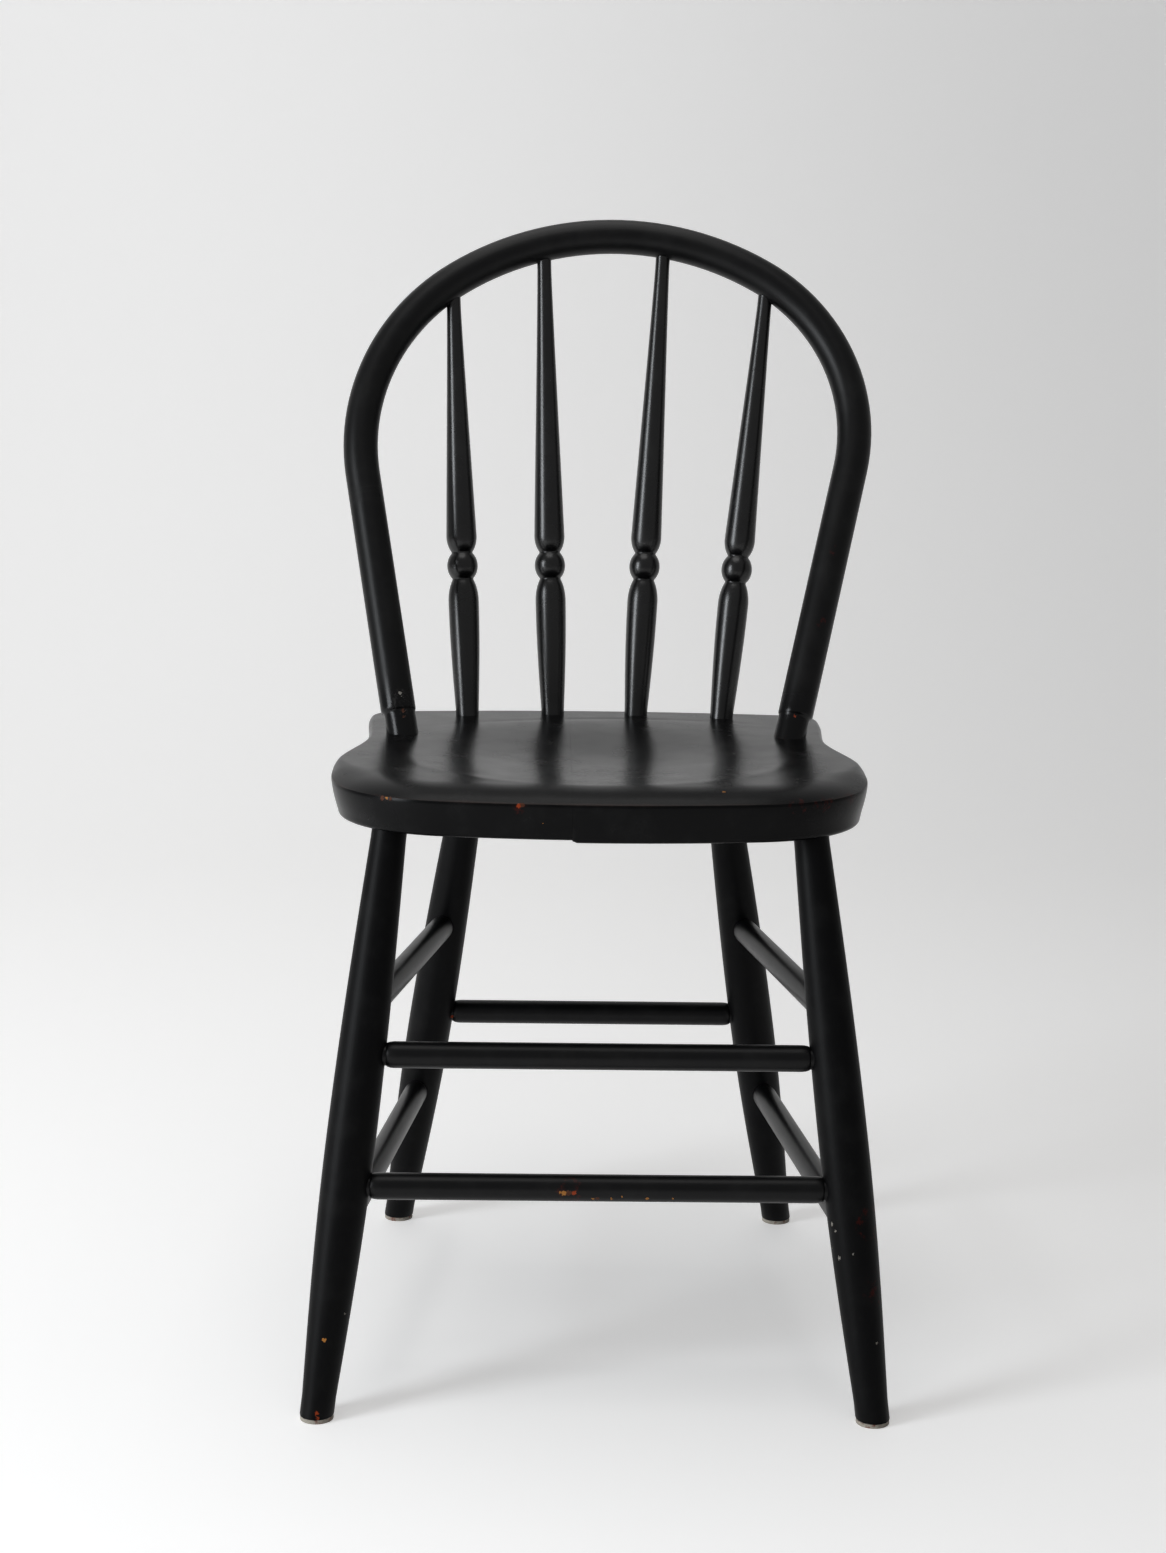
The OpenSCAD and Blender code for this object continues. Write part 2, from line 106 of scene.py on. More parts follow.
def leg_axis(node):
    """A leg's foot is cut level, so its axis starts from the middle of the pad under it."""
    pad_low, pad_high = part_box(node.replace("leg", "pad"))
    start = Vector(((pad_low[0] + pad_high[0]) / 2, (pad_low[1] + pad_high[1]) / 2, pad_high[2]))
    points = [v.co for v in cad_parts[node].data.vertices]
    end = Vector(axis_of(node)[1])
    for _ in range(TRIES):
        direction = (end - start).normalized()
        along = [p.dot(direction) for p in points]
        end = ring_middle([p for p, s in zip(points, along) if s > max(along) - TOP_BAND])
    return start, end


def widest(node, start, end):
    direction = (end - start).normalized()
    offsets = [v.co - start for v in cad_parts[node].data.vertices]
    return max((o - o.dot(direction) * direction).length for o in offsets)


for name in ("spindle_1", "front_left_leg", "front_lower_stretcher"):
    a, b = leg_axis(name) if "leg" in name else axis_of(name)
    print(name, "runs", [round(c / MM) for c in a], "to", [round(c / MM) for c in b],
          "radius", round(widest(name, a, b) / MM, 1))

# %% [markdown]
# ## Turning on a lathe
# Legs, spindles and stretchers were all turned. A turner cuts half an outline, and the
# lathe makes it round. The same is done here: one point is extruded from station to station
# along half the outline, and Spin carries that line once round the Z axis. A cylinder
# squeezed ring by ring would do as well, but an outline is easier to read and to change.
# Each point also keeps its place on the lathe in an attribute called "own", so that brush
# marks can later run along the piece however it leans.

# %% Lathe helpers
SIDES, SLIM_SIDES = 48, 40
DOUBLED, NEAR = 0.002 * MM, 0.1 * MM  # points this close are one, heights this close are level


def keep_own(piece):
    own = piece.data.attributes.new("own", "FLOAT_VECTOR", "POINT")
    for vertex, item in zip(piece.data.vertices, own.data):
        item.vector = vertex.co


def only(piece):
    bpy.ops.object.select_all(action="DESELECT")
    piece.select_set(True)
    bpy.context.view_layer.objects.active = piece


def close_up(piece):
    """Merges doubled points and points every face outwards. The piece is in edit mode."""
    bpy.ops.mesh.select_all(action="SELECT")
    bpy.ops.mesh.remove_doubles(threshold=DOUBLED)
    bpy.ops.mesh.normals_make_consistent(inside=False)
    bpy.ops.object.mode_set(mode="OBJECT")


def turned(name, outline, sides=SIDES):
    bpy.ops.object.select_all(action="DESELECT")
    bpy.ops.mesh.primitive_plane_add(size=MM, location=(0, 0, 0))
    piece = bpy.context.active_object
    piece.name = piece.data.name = name
    bpy.ops.object.mode_set(mode="EDIT")
    bpy.ops.mesh.select_all(action="SELECT")
    bpy.ops.mesh.merge(type="CENTER")
    radius, height = outline[0]
    bpy.ops.transform.translate(value=(radius, 0, height))
    for next_radius, next_height in outline[1:]:
        step = (next_radius - radius, 0, next_height - height)
        bpy.ops.mesh.extrude_vertices_move(TRANSFORM_OT_translate={"value": step})
        radius, height = next_radius, next_height
    bpy.ops.mesh.select_all(action="SELECT")
    bpy.ops.mesh.spin(steps=sides, angle=2 * math.pi, center=(0, 0, 0), axis=(0, 0, 1))
    close_up(piece)
    keep_own(piece)
    return piece


print("lathe ready,", SIDES, "sides, or", SLIM_SIDES, "for slim pieces")

# %% [markdown]
# ## Setting a finished piece in its place
# A turned piece stands at the middle of the world until it is laid along its axis. Its place
# is then applied to the mesh, so that the object itself stays at the origin, unturned, and
# the paint's pattern can't slide. Last, the piece takes its paint and takes the construction
# piece's place.

# %% Placing helpers
def settle(piece):
    """Moves a piece's place, turn and size into its mesh. The piece is in object mode."""
    only(piece)
    bpy.ops.object.transform_apply(location=True, rotation=True, scale=True)


def stand(piece, start, end):
    """Lays the lathe's Z axis along the line from start to end."""
    turn = (end - start).to_track_quat("Z", "Y").to_matrix().to_4x4()
    piece.matrix_world = Matrix.Translation(start) @ turn
    settle(piece)


def soften(width, segments):
    """Bevels the chosen edges of the piece that is in edit mode."""
    bpy.ops.mesh.select_mode(type="EDGE")
    bpy.ops.mesh.bevel(offset=width, segments=segments, affect="EDGES")
    bpy.ops.mesh.select_mode(type="VERT")


def smooth(piece, angle=40):
    only(piece)
    bpy.ops.object.shade_smooth_by_angle(angle=math.radians(angle))


def carry(piece, node, material):
    piece.data.materials.clear()
    piece.data.materials.append(material)
    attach(piece, "root")
    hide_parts(node)


def span(first, last, steps):
    return [first + (last - first) * i / steps for i in range(steps + 1)]


print("steps from 0 to 1:", span(0, 1, 4))

# %% [markdown]
# ## Paint that has lived
# The chair carries a thick satin black, brushed on by hand over an older red coat. Three
# effects are shared by all its painted pieces, so each is a node group: the skin of the
# paint with its brush marks and fine pebble, a chip, and wear along an edge. A picture of
# real paint could be wrapped round the pieces too, but patterns built from noise have no
# seams and stay sharp at any distance.

# %% Groups, sums and products
def new_group(name, inputs, outputs):
    group = bpy.data.node_groups.new(name, "ShaderNodeTree")
    for label, kind in inputs:
        group.interface.new_socket(label, in_out="INPUT", socket_type=kind)
    for label, kind in outputs:
        group.interface.new_socket(label, in_out="OUTPUT", socket_type=kind)
    return group, group.nodes.new("NodeGroupInput"), group.nodes.new("NodeGroupOutput")


def math_node(tree, operation, *values):
    node = tree.nodes.new("ShaderNodeMath")
    node.operation = operation
    for socket, value in zip(node.inputs, values):
        if isinstance(value, (int, float)):
            socket.default_value = value
        else:
            tree.links.new(value, socket)
    return node.outputs[0]


def vector_node(tree, operation, *values):
    node = tree.nodes.new("ShaderNodeVectorMath")
    node.operation = operation
    for socket, value in zip(node.inputs, values):
        if isinstance(value, (tuple, list)):
            socket.default_value = value
        else:
            tree.links.new(value, socket)
    return node


print("sums and products ready:", math_node.__name__, "and", vector_node.__name__)

# %% Noise, ranges and colours
def noise_node(tree, place, scale, detail=2.0, rough=0.5):
    node = tree.nodes.new("ShaderNodeTexNoise")
    node.inputs["Scale"].default_value = scale
    node.inputs["Detail"].default_value = detail
    node.inputs["Roughness"].default_value = rough
    tree.links.new(place, node.inputs["Vector"])
    return node


def remap(tree, value, low_in, high_in, low_out=0.0, high_out=1.0):
    node = tree.nodes.new("ShaderNodeMapRange")
    node.interpolation_type = "SMOOTHSTEP"
    for socket, number in zip(node.inputs[1:5], (low_in, high_in, low_out, high_out)):
        socket.default_value = number
    tree.links.new(value, node.inputs["Value"])
    return node.outputs["Result"]


def blend_colour(tree, mask, first, second):
    node = tree.nodes.new("ShaderNodeMix")
    node.data_type = "RGBA"
    tree.links.new(mask, node.inputs["Factor"])
    for socket, value in ((node.inputs[6], first), (node.inputs[7], second)):
        if isinstance(value, tuple):
            socket.default_value = (*value, 1.0)
        else:
            tree.links.new(value, socket)
    return node.outputs[2]


def place_group(tree, group, **values):
    node = tree.nodes.new("ShaderNodeGroup")
    node.node_tree = group
    for label, value in values.items():
        socket = node.inputs[label]
        if isinstance(value, (int, float, tuple)):
            socket.default_value = value
        else:
            tree.links.new(value, socket)
    return node


print("noise and blending ready:", noise_node.__name__, "and", blend_colour.__name__)

# %% The skin of the paint
STREAKS, PEBBLES, BLOTCHES, LONG = 420, 900, 38, 0.05  # scales, and how far a streak is drawn
skin, entry, leave = new_group(
    "paint_skin",
    [("Own", "NodeSocketVector"), ("Brush", "NodeSocketFloat"), ("Pebble", "NodeSocketFloat")],
    [("Height", "NodeSocketFloat"), ("Blotch", "NodeSocketFloat")])
drawn_out = vector_node(skin, "MULTIPLY", entry.outputs["Own"], (1.0, 1.0, LONG)).outputs[0]
streak = noise_node(skin, drawn_out, STREAKS, 3.0, 0.6).outputs["Fac"]
pebble = noise_node(skin, entry.outputs["Own"], PEBBLES, 3.0, 0.65).outputs["Fac"]
blotch = noise_node(skin, entry.outputs["Own"], BLOTCHES, 3.0, 0.55).outputs["Fac"]
height = math_node(skin, "ADD", math_node(skin, "MULTIPLY", streak, entry.outputs["Brush"]),
                   math_node(skin, "MULTIPLY", pebble, entry.outputs["Pebble"]))
for label, value in (("Height", height), ("Blotch", blotch)):
    skin.links.new(value, leave.inputs[label])
print("paint skin:", len(skin.nodes), "nodes")

# %% One chip
SHARP_FROM = 0.82  # the share of a chip's radius at which its edge begins to fade
chip, entry, leave = new_group(
    "paint_chip",
    [("Place", "NodeSocketVector"), ("Centre", "NodeSocketVector"), ("Radius", "NodeSocketFloat")],
    [("Mask", "NodeSocketFloat")])
away = vector_node(chip, "DISTANCE", entry.outputs["Place"], entry.outputs["Centre"]).outputs["Value"]
share = math_node(chip, "DIVIDE", away, entry.outputs["Radius"])
chip.links.new(remap(chip, share, SHARP_FROM, 1.0, 1.0, 0.0), leave.inputs["Mask"])
print("chip:", len(chip.nodes), "nodes")

# %% Wear along an edge
PATCHES, BITES, PATCH_SHARE, BITE_SHARE = 26, 420, 1.1, 0.5  # scales and strengths
edge_wear, entry, leave = new_group(
    "edge_wear",
    [("Edge", "NodeSocketFloat"), ("Place", "NodeSocketVector"), ("Reach", "NodeSocketFloat")],
    [("Mask", "NodeSocketFloat"), ("Rub", "NodeSocketFloat")])
patches = noise_node(edge_wear, entry.outputs["Place"], PATCHES, 2.0).outputs["Fac"]
bites = noise_node(edge_wear, entry.outputs["Place"], BITES, 4.0, 0.7).outputs["Fac"]
bitten = math_node(edge_wear, "ADD", math_node(edge_wear, "MULTIPLY", patches, PATCH_SHARE),
                   math_node(edge_wear, "MULTIPLY", bites, BITE_SHARE))
bared = math_node(edge_wear, "ADD", math_node(edge_wear, "MULTIPLY", entry.outputs["Edge"], bitten),
                  entry.outputs["Reach"])
edge_wear.links.new(remap(edge_wear, bared, 0.98, 1.06), leave.inputs["Mask"])
edge_wear.links.new(remap(edge_wear, bared, 0.45, 1.0), leave.inputs["Rub"])
print("edge wear:", len(edge_wear.nodes), "nodes")

# %% [markdown]
# ## One recipe for every painted piece
# Each material starts from the same recipe and adds its own list of chips. Five materials
# could be built one by one, but then a change to the black would have to be made five times.
# A chip is named by what shows in it: the red-orange coat underneath, brown grime, bare
# wood, pale primer, or black paint worn thin enough for the red to tint it.
# "brush" and "pebble" are the heights of those marks in millimetres, "gloss" is the
# roughness, so that a lower number shines more, and "reach" is how far the edge wear goes.
# "bend" is the index of refraction: a matter, drier film of paint reflects less than a
# glossy one. "polish" makes the bow smoother near the seat, where hands and cloths rub it.

# %% The paint's colours
BLACK = (0.0030, 0.0030, 0.0033)
GREYED = (0.0062, 0.0062, 0.0064)
RUBBED, BARED = (0.022, 0.013, 0.011), (0.16, 0.05, 0.025)
GLOSS_DOWN, GLOSS_UP, CHIP_ROUGH = 0.01, 0.03, 0.3
PAINT_THICK, RAGGED = 0.18, 4.5 * MM  # the first counts in the bump's own millimetres
POLISH_FADE = (465 * MM, 500 * MM)
CRUMBS = {"scuff": 330, "thin": 150}
CHIP_COLOURS = {
    "thin": (0.032, 0.005, 0.004),
    "scuff": (0.03, 0.029, 0.028),
    "brown": (0.085, 0.032, 0.018),
    "orange": (0.33, 0.05, 0.014),
    "wood": (0.46, 0.19, 0.045),
    "pale": (0.30, 0.28, 0.25),
}
print("chips show", ", ".join(CHIP_COLOURS))

# %% [markdown]
# ## The painted finish
# Chips could be cut into the mesh, but a film of paint is thin, so colour, roughness and a
# bump are enough. A chip is the space within a radius of a point, and its edge is made
# ragged by nudging the place that every chip is measured from. Thin and scuffed paint shows
# only in crumbs. Any other chip also lies deeper and is rougher, because the film is gone.

# %% The painted finish
def painted(name, chips=(), brush=0.04, pebble=0.05, gloss=0.3, bend=1.3, reach=-0.25, polish=0.0):
    material = bpy.data.materials.new(name)
    material.use_nodes = True
    tree = material.node_tree
    shader = tree.nodes["Principled BSDF"]
    place = tree.nodes.new("ShaderNodeTexCoord").outputs["Object"]
    own = tree.nodes.new("ShaderNodeAttribute")
    own.attribute_name = "own"
    edge = tree.nodes.new("ShaderNodeAttribute")
    edge.attribute_name = "edge"
    film = place_group(tree, skin, Own=own.outputs["Vector"], Brush=brush, Pebble=pebble)
    worn = place_group(tree, edge_wear, Edge=edge.outputs["Fac"], Place=place, Reach=reach)
    jitter = noise_node(tree, place, 620, 3.0, 0.65).outputs["Color"]
    jitter = vector_node(tree, "SUBTRACT", jitter, (0.5, 0.5, 0.5)).outputs[0]
    jitter = vector_node(tree, "MULTIPLY", jitter, (RAGGED,) * 3).outputs[0]
    nudged = vector_node(tree, "ADD", place, jitter).outputs[0]

    colour = blend_colour(tree, remap(tree, film.outputs["Blotch"], 0.45, 0.7), BLACK, GREYED)
    rough = remap(tree, film.outputs["Blotch"], 0.2, 0.8, gloss - GLOSS_DOWN, gloss + GLOSS_UP)
    colour = blend_colour(tree, worn.outputs["Rub"], colour, RUBBED)
    colour = blend_colour(tree, worn.outputs["Mask"], colour, BARED)
    lost = worn.outputs["Mask"]
    for kind, tint in CHIP_COLOURS.items():
        masks = [place_group(tree, chip, Place=nudged, Centre=tuple(c * MM for c in centre),
                             Radius=radius * MM).outputs["Mask"]
                 for what, centre, radius in chips if what == kind]
        if not masks:
            continue
        mask = masks[0]
        for other in masks[1:]:
            mask = math_node(tree, "MAXIMUM", mask, other)
        if kind in CRUMBS:
            crumbs = noise_node(tree, place, CRUMBS[kind], 4.0, 0.7)
            mask = math_node(tree, "MULTIPLY", mask, remap(tree, crumbs.outputs["Fac"], 0.5, 0.66))
        else:
            lost = math_node(tree, "MAXIMUM", lost, mask)
        colour = blend_colour(tree, mask, colour, tint)
    rough = math_node(tree, "ADD", rough, math_node(tree, "MULTIPLY", lost, CHIP_ROUGH))
    if polish:
        parts = tree.nodes.new("ShaderNodeSeparateXYZ")
        tree.links.new(place, parts.inputs["Vector"])
        feet = remap(tree, parts.outputs["Z"], *POLISH_FADE, polish, 0.0)
        rough = math_node(tree, "SUBTRACT", rough, feet)
    film_height = math_node(tree, "MULTIPLY", lost, -PAINT_THICK)
    bump = tree.nodes.new("ShaderNodeBump")
    bump.inputs["Distance"].default_value = MM
    tree.links.new(math_node(tree, "ADD", film.outputs["Height"], film_height), bump.inputs["Height"])
    tree.links.new(bump.outputs["Normal"], shader.inputs["Normal"])
    tree.links.new(colour, shader.inputs["Base Color"])
    tree.links.new(rough, shader.inputs["Roughness"])
    shader.inputs["IOR"].default_value = bend
    print(name, "with", len(chips), "chips,", len(tree.nodes), "nodes")
    return material


# %% The five paints
seat_paint = painted("seat_paint", brush=0.013, pebble=0.03, gloss=0.25, bend=1.18, reach=-0.07, chips=[
    ("wood", (-163.0, -162.6, 435.3), 1.1), ("brown", (-166.2, -160.2, 435.2), 1.8),
    ("brown", (-159.8, -164.4, 435.2), 1.6), ("wood", (-168.9, -157.6, 435.4), 0.7),
    ("orange", (-67.4, -184.2, 435.0), 1.5), ("brown", (-65.0, -184.4, 435.6), 1.7),
    ("wood", (-50.7, -182.9, 423.2), 0.9), ("wood", (79.9, -164.0, 442.9), 1.3),
    ("thin", (134.2, -171.5, 435.4), 9), ("thin", (152.0, -158.0, 436.5), 11),
    ("thin", (174.1, -136.5, 437.0), 9), ("thin", (-67.0, -184.0, 434.0), 6),
    ("scuff", (20.3, -24.9, 437.8), 22), ("scuff", (77.7, 5.1, 441.3), 24),
    ("scuff", (30.0, -60.0, 438.5), 18), ("scuff", (-125.3, -90.5, 444.5), 9),
    ("scuff", (-200.5, -74.1, 443.9), 8), ("scuff", (-181.2, 103.3, 445.0), 8)])
bow_paint = painted("bow_paint", brush=0.05, pebble=0.07, gloss=0.37, bend=1.28, polish=0.17, chips=[
    ("pale", (-167.3, 76.0, 477.3), 1.5), ("pale", (-165.8, 75.5, 474.0), 0.9),
    ("brown", (-164.7, 72.9, 463.1), 2.2), ("brown", (-164.4, 71.0, 458.5), 1.7),
    ("brown", (-164.6, 69.0, 453.0), 1.4),
    ("orange", (152.6, 72.1, 462.8), 1.5), ("thin", (140.7, 70.1, 447.4), 7),
    ("thin", (186.7, 124.4, 592.3), 5),
    ("thin", (174.5, 100.9, 536.2), 5), ("scuff", (-166.0, 76.0, 470.0), 12)])
leg_paint = painted("leg_paint", brush=0.05, pebble=0.08, gloss=0.44, bend=1.17, chips=[
    ("wood", (-201.8, -248.7, 58.6), 1.7), ("pale", (-187.6, -239.4, 74.4), 1.0),
    ("orange", (-206.0, -260.3, 8.4), 1.7), ("orange", (-205.5, -260.0, 4.5), 1.5),
    ("pale", (161.0, -220.6, 138.3), 1.3), ("pale", (162.9, -224.1, 134.3), 0.9),
    ("pale", (161.6, -220.5, 120.2), 1.0), ("pale", (165.8, -229.3, 115.9), 1.4),
    ("pale", (175.1, -234.1, 120.8), 0.9), ("pale", (192.9, -246.5, 58.8), 1.2),
    ("thin", (187.0, -222.0, 140.0), 14), ("thin", (192.0, -232.0, 95.0), 14)])
rail_paint = painted("rail_paint", brush=0.05, pebble=0.06, gloss=0.34, bend=1.28, chips=[
    ("wood", (-32.0, -216.4, 158.0), 2.0), ("brown", (-28.6, -216.4, 158.2), 2.4),
    ("orange", (-24.8, -216.4, 158.4), 1.8), ("wood", (-34.6, -216.3, 158.6), 1.2),
    ("wood", (-11.1, -214.7, 153.4), 1.2), ("brown", (-8.0, -214.9, 153.8), 1.6),
    ("wood", (2.6, -214.8, 153.5), 1.0), ("wood", (9.8, -215.8, 155.5), 0.9),
    ("wood", (27.8, -215.0, 153.8), 1.2), ("wood", (46.5, -215.2, 154.1), 1.1),
    ("orange", (-125.6, 116.0, 195.9), 1.5), ("thin", (-28.0, -216.0, 158.0), 12)])
spindle_paint = painted("spindle_paint", brush=0.03, pebble=0.05, gloss=0.26, bend=1.48)

# %% [markdown]
# ## Legs
# A leg swells from a slim foot to its full thickness a little under halfway up, then
# tapers into a straight end that goes into the seat. Its lathe outline follows that swell.
# The leg is laid along the construction leg's axis, and then Bisect cuts its foot level,
# as a saw would, because the leg leans but the floor doesn't. A boolean with a box would
# cut it as well, but Bisect needs no second object and leaves one clean face.

# %% Legs
LEG_FOOT, LEG_TOP = 12.25 * MM, 13.0 * MM
LEG_FULL_AT, FOOT_STRAIGHT, TOP_STRAIGHT = 188 * MM, 16 * MM, 8 * MM
SEAT_TENON, SEAT_BASE, PAD_H = 24 * MM, 409 * MM, 3 * MM
LEG_STEPS, FOOT_ARRIS = 22, 0.9 * MM


def leg_outline(full, length, lean):
    """Radius and distance from the floor along the leg's axis."""
    swell = LEG_FULL_AT / lean
    top = length - SEAT_TENON - TOP_STRAIGHT
    line = [(0, -LEG_FOOT * 2), (LEG_FOOT, -LEG_FOOT * 2), (LEG_FOOT, 0), (LEG_FOOT, FOOT_STRAIGHT)]
    for s in span(0, 1, LEG_STEPS)[1:]:
        line.append((LEG_FOOT + (full - LEG_FOOT) * math.sin(s * math.pi / 2),
                     FOOT_STRAIGHT + (swell - FOOT_STRAIGHT) * s))
    for s in span(0, 1, LEG_STEPS)[1:]:
        line.append((LEG_TOP + (full - LEG_TOP) * math.cos(s * math.pi / 2), swell + (top - swell) * s))
    return line + [(LEG_TOP, length), (0, length)]


for node in ("front_left_leg", "front_right_leg", "rear_left_leg", "rear_right_leg"):
    start, end = leg_axis(node)
    direction = (end - start).normalized()
    floor_point = start - direction * (start.z / direction.z)
    full, length = widest(node, start, end), (end - floor_point).length
    leg = turned("turned_" + node, leg_outline(full, length, direction.z))
    stand(leg, floor_point, end)
    bpy.ops.object.mode_set(mode="EDIT")
    bpy.ops.mesh.select_all(action="SELECT")
    bpy.ops.mesh.bisect(plane_co=(0, 0, PAD_H), plane_no=(0, 0, 1), use_fill=True, clear_inner=True)
    soften(FOOT_ARRIS, segments=2)
    close_up(leg)
    smooth(leg)
    carry(leg, node, leg_paint)

# %% [markdown]
# ## Spindles
# Each spindle swells from its foot, pinches in to a narrow neck, rounds out into one bead,
# pinches again, and then tapers all the way to a thin tip in the bow. The two necks are
# sharp valleys between full curves, which is what a turner gets from a skew chisel. The
# curves could be drawn by hand, but formulas keep them fair on spindles of any length.

# %% Spindles
SPINDLE_TENON, FOOT_RISE, TIP_STRAIGHT = 20 * MM, 3 * MM, 21.3 * MM
BEAD_AT, BEAD_HALF, NECK_HALF, VALLEY = 126 * MM, 11.2 * MM, 0.6 * MM, 0.1 * MM
R_FOOT, R_FULL, R_NECK, R_BEAD, R_TIP = 9.75 * MM, 12.9 * MM, 9.0 * MM, 13.0 * MM, 6.0 * MM
LOWER_AT, UPPER_AT = BEAD_AT - 30 * MM, BEAD_AT + 25 * MM


def swell(full, t):
    """Falls from the full radius at t = 0 to the neck's at t = 1, along an ellipse."""
    return full * math.sqrt(1 - t * t * (1 - (R_NECK / full) ** 2))


def spindle_outline(length):
    """Radius and height above the seat."""
    enter = length - TIP_STRAIGHT
    bead_low, bead_high = BEAD_AT - BEAD_HALF, BEAD_AT + BEAD_HALF
    line = [(0, -SPINDLE_TENON), (R_FOOT, -SPINDLE_TENON), (R_FOOT, FOOT_RISE)]
    line += [(R_FOOT + (R_FULL - R_FOOT) * math.sin(t * math.pi / 2),
              FOOT_RISE + (LOWER_AT - FOOT_RISE) * t) for t in span(0, 1, 12)[1:]]
    line += [(swell(R_FULL, t), LOWER_AT + (bead_low - NECK_HALF - LOWER_AT) * t)
             for t in span(0, 1, 12)[1:]]
    line += [(R_NECK - VALLEY, bead_low)]
    line += [(swell(R_BEAD, t), BEAD_AT + (BEAD_HALF - NECK_HALF) * t) for t in span(-1, 1, 20)]
    line += [(R_NECK - VALLEY, bead_high)]
    line += [(swell(R_FULL, t), UPPER_AT + (bead_high + NECK_HALF - UPPER_AT) * t)
             for t in span(1, 0, 12)]
    line += [(R_TIP + (R_FULL - R_TIP) * ((1 - t) ** 1.6 + 0.6 * t * (1 - t)),
              UPPER_AT + (enter - UPPER_AT) * t) for t in span(0, 1, 24)[1:]]
    return line + [(R_TIP, length), (0, length)]


for node in ("spindle_1", "spindle_2", "spindle_3", "spindle_4"):
    start, end = axis_of(node)
    direction = (end - start).normalized()
    foot = start + direction * SPINDLE_TENON
    spindle = turned("turned_" + node, spindle_outline((end - foot).length), SLIM_SIDES)
    stand(spindle, foot, end)
    smooth(spindle, angle=60)
    carry(spindle, node, spindle_paint)

# %% [markdown]
# ## Stretchers
# A stretcher is a plain rod with rounded shoulders that shrink to a tenon in each leg. All
# seven share one outline and differ only in length. Copies of one rod could be stretched to
# fit, but that would stretch their shoulders too, so each is turned to its own length.

# %% Stretchers
R_RAIL, R_RAIL_TENON, RAIL_PASS = 9.75 * MM, 8.0 * MM, 4 * MM
SHOULDER_AT, SHOULDER_RISE = 18 * MM + RAIL_PASS, 7 * MM


def rail_outline(length):
    end = [(R_RAIL_TENON + (R_RAIL - R_RAIL_TENON) * math.sin(s * math.pi / 2),
            SHOULDER_AT + SHOULDER_RISE * (1 - math.cos(s * math.pi / 2))) for s in span(0, 1, 8)]
    middle = [(R_RAIL, SHOULDER_AT + SHOULDER_RISE + s * (length - 2 * (SHOULDER_AT + SHOULDER_RISE)))
              for s in span(0, 1, 12)[1:-1]]
    return ([(0, 0), (R_RAIL_TENON, 0)] + end + middle
            + [(r, length - z) for r, z in reversed(end)] + [(R_RAIL_TENON, length), (0, length)])


for node in ("front_upper_stretcher", "front_lower_stretcher", "rear_stretcher",
             "left_upper_stretcher", "left_lower_stretcher",
             "right_upper_stretcher", "right_lower_stretcher"):
    start, end = axis_of(node)
    rail = turned("turned_" + node, rail_outline((end - start).length), SLIM_SIDES)
    stand(rail, start, end)
    smooth(rail, angle=60)
    carry(rail, node, rail_paint)

# %% [markdown]
# ## Bow
# The bow is one long rod, steamed and bent round a form. It wasn't bent evenly: the right
# shoulder is tighter than the left. Here a circle is pushed up the left leg by Extrude,
# swept round three arcs by Spin, and pushed down the right leg, all lying flat, and the
# finished bow is tipped back into its own plane. A bevelled curve would give the same rod,
# but the pared necks at its feet need rings that can be resized and shifted one by one.

# %% The bow's own measures, on its flat plane
left_low, left_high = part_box("seat_left_board")
right_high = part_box("seat_right_board")[1]
SEAT_X = (left_low[0] + right_high[0]) / 2
SEAT_DEPTH, SEAT_HEIGHT = 394 * MM, 445 * MM
SEAT_Y = left_high[1] - SEAT_DEPTH / 2
BOW_R, NECK_R, NECK_SHIFT = 14.3 * MM, 12.75 * MM, 0.6 * MM
BOW_LEAN, BOW_FOOT_X, BOW_FOOT_IN = math.radians(23), 158 * MM, 130 * MM
BOW_RISE, BOW_LEFT, BOW_RIGHT, BOW_TOP_X = 436 * MM, 198 * MM, 214 * MM, 13 * MM
TOP_R, LEFT_R, RIGHT_R = 240 * MM, 175 * MM, 159 * MM
top_c = Vector((BOW_TOP_X, BOW_RISE - TOP_R, 0))


def shoulder_centre(x, radius):
    drop = math.sqrt((TOP_R - radius) ** 2 - (x - BOW_TOP_X) ** 2)
    return Vector((x, top_c.y + drop, 0))


left_c = shoulder_centre(LEFT_R - BOW_LEFT, LEFT_R)
right_c = shoulder_centre(BOW_RIGHT - RIGHT_R, RIGHT_R)


def leg_angle(centre, radius, side):
    """Angle of a straight leg that just touches its shoulder's circle, and its length."""
    away = Vector((side * centre.x - BOW_FOOT_X, centre.y))
    turn = math.atan2(away.y, away.x) - math.asin(radius / away.length)
    return (turn if side > 0 else math.pi - turn), math.sqrt(away.length ** 2 - radius ** 2)


def angle_from(centre, other):
    return math.atan2(other.y - centre.y, other.x - centre.x)


left_angle, left_leg = leg_angle(left_c, LEFT_R, -1)
right_angle, right_leg = leg_angle(right_c, RIGHT_R, 1)
left_join, right_join = angle_from(top_c, left_c), angle_from(top_c, right_c)
print("bow legs stand at", round(math.degrees(left_angle), 1), "and", round(math.degrees(right_angle), 1),
      "degrees, with arcs joined at", round(math.degrees(left_join), 1), round(math.degrees(right_join), 1))

# %% Rings along the bow
LEG_RINGS, ARC_RINGS, TOP_RINGS = 14, 26, 28
TENON_END, NECK_TOP = -24, 22
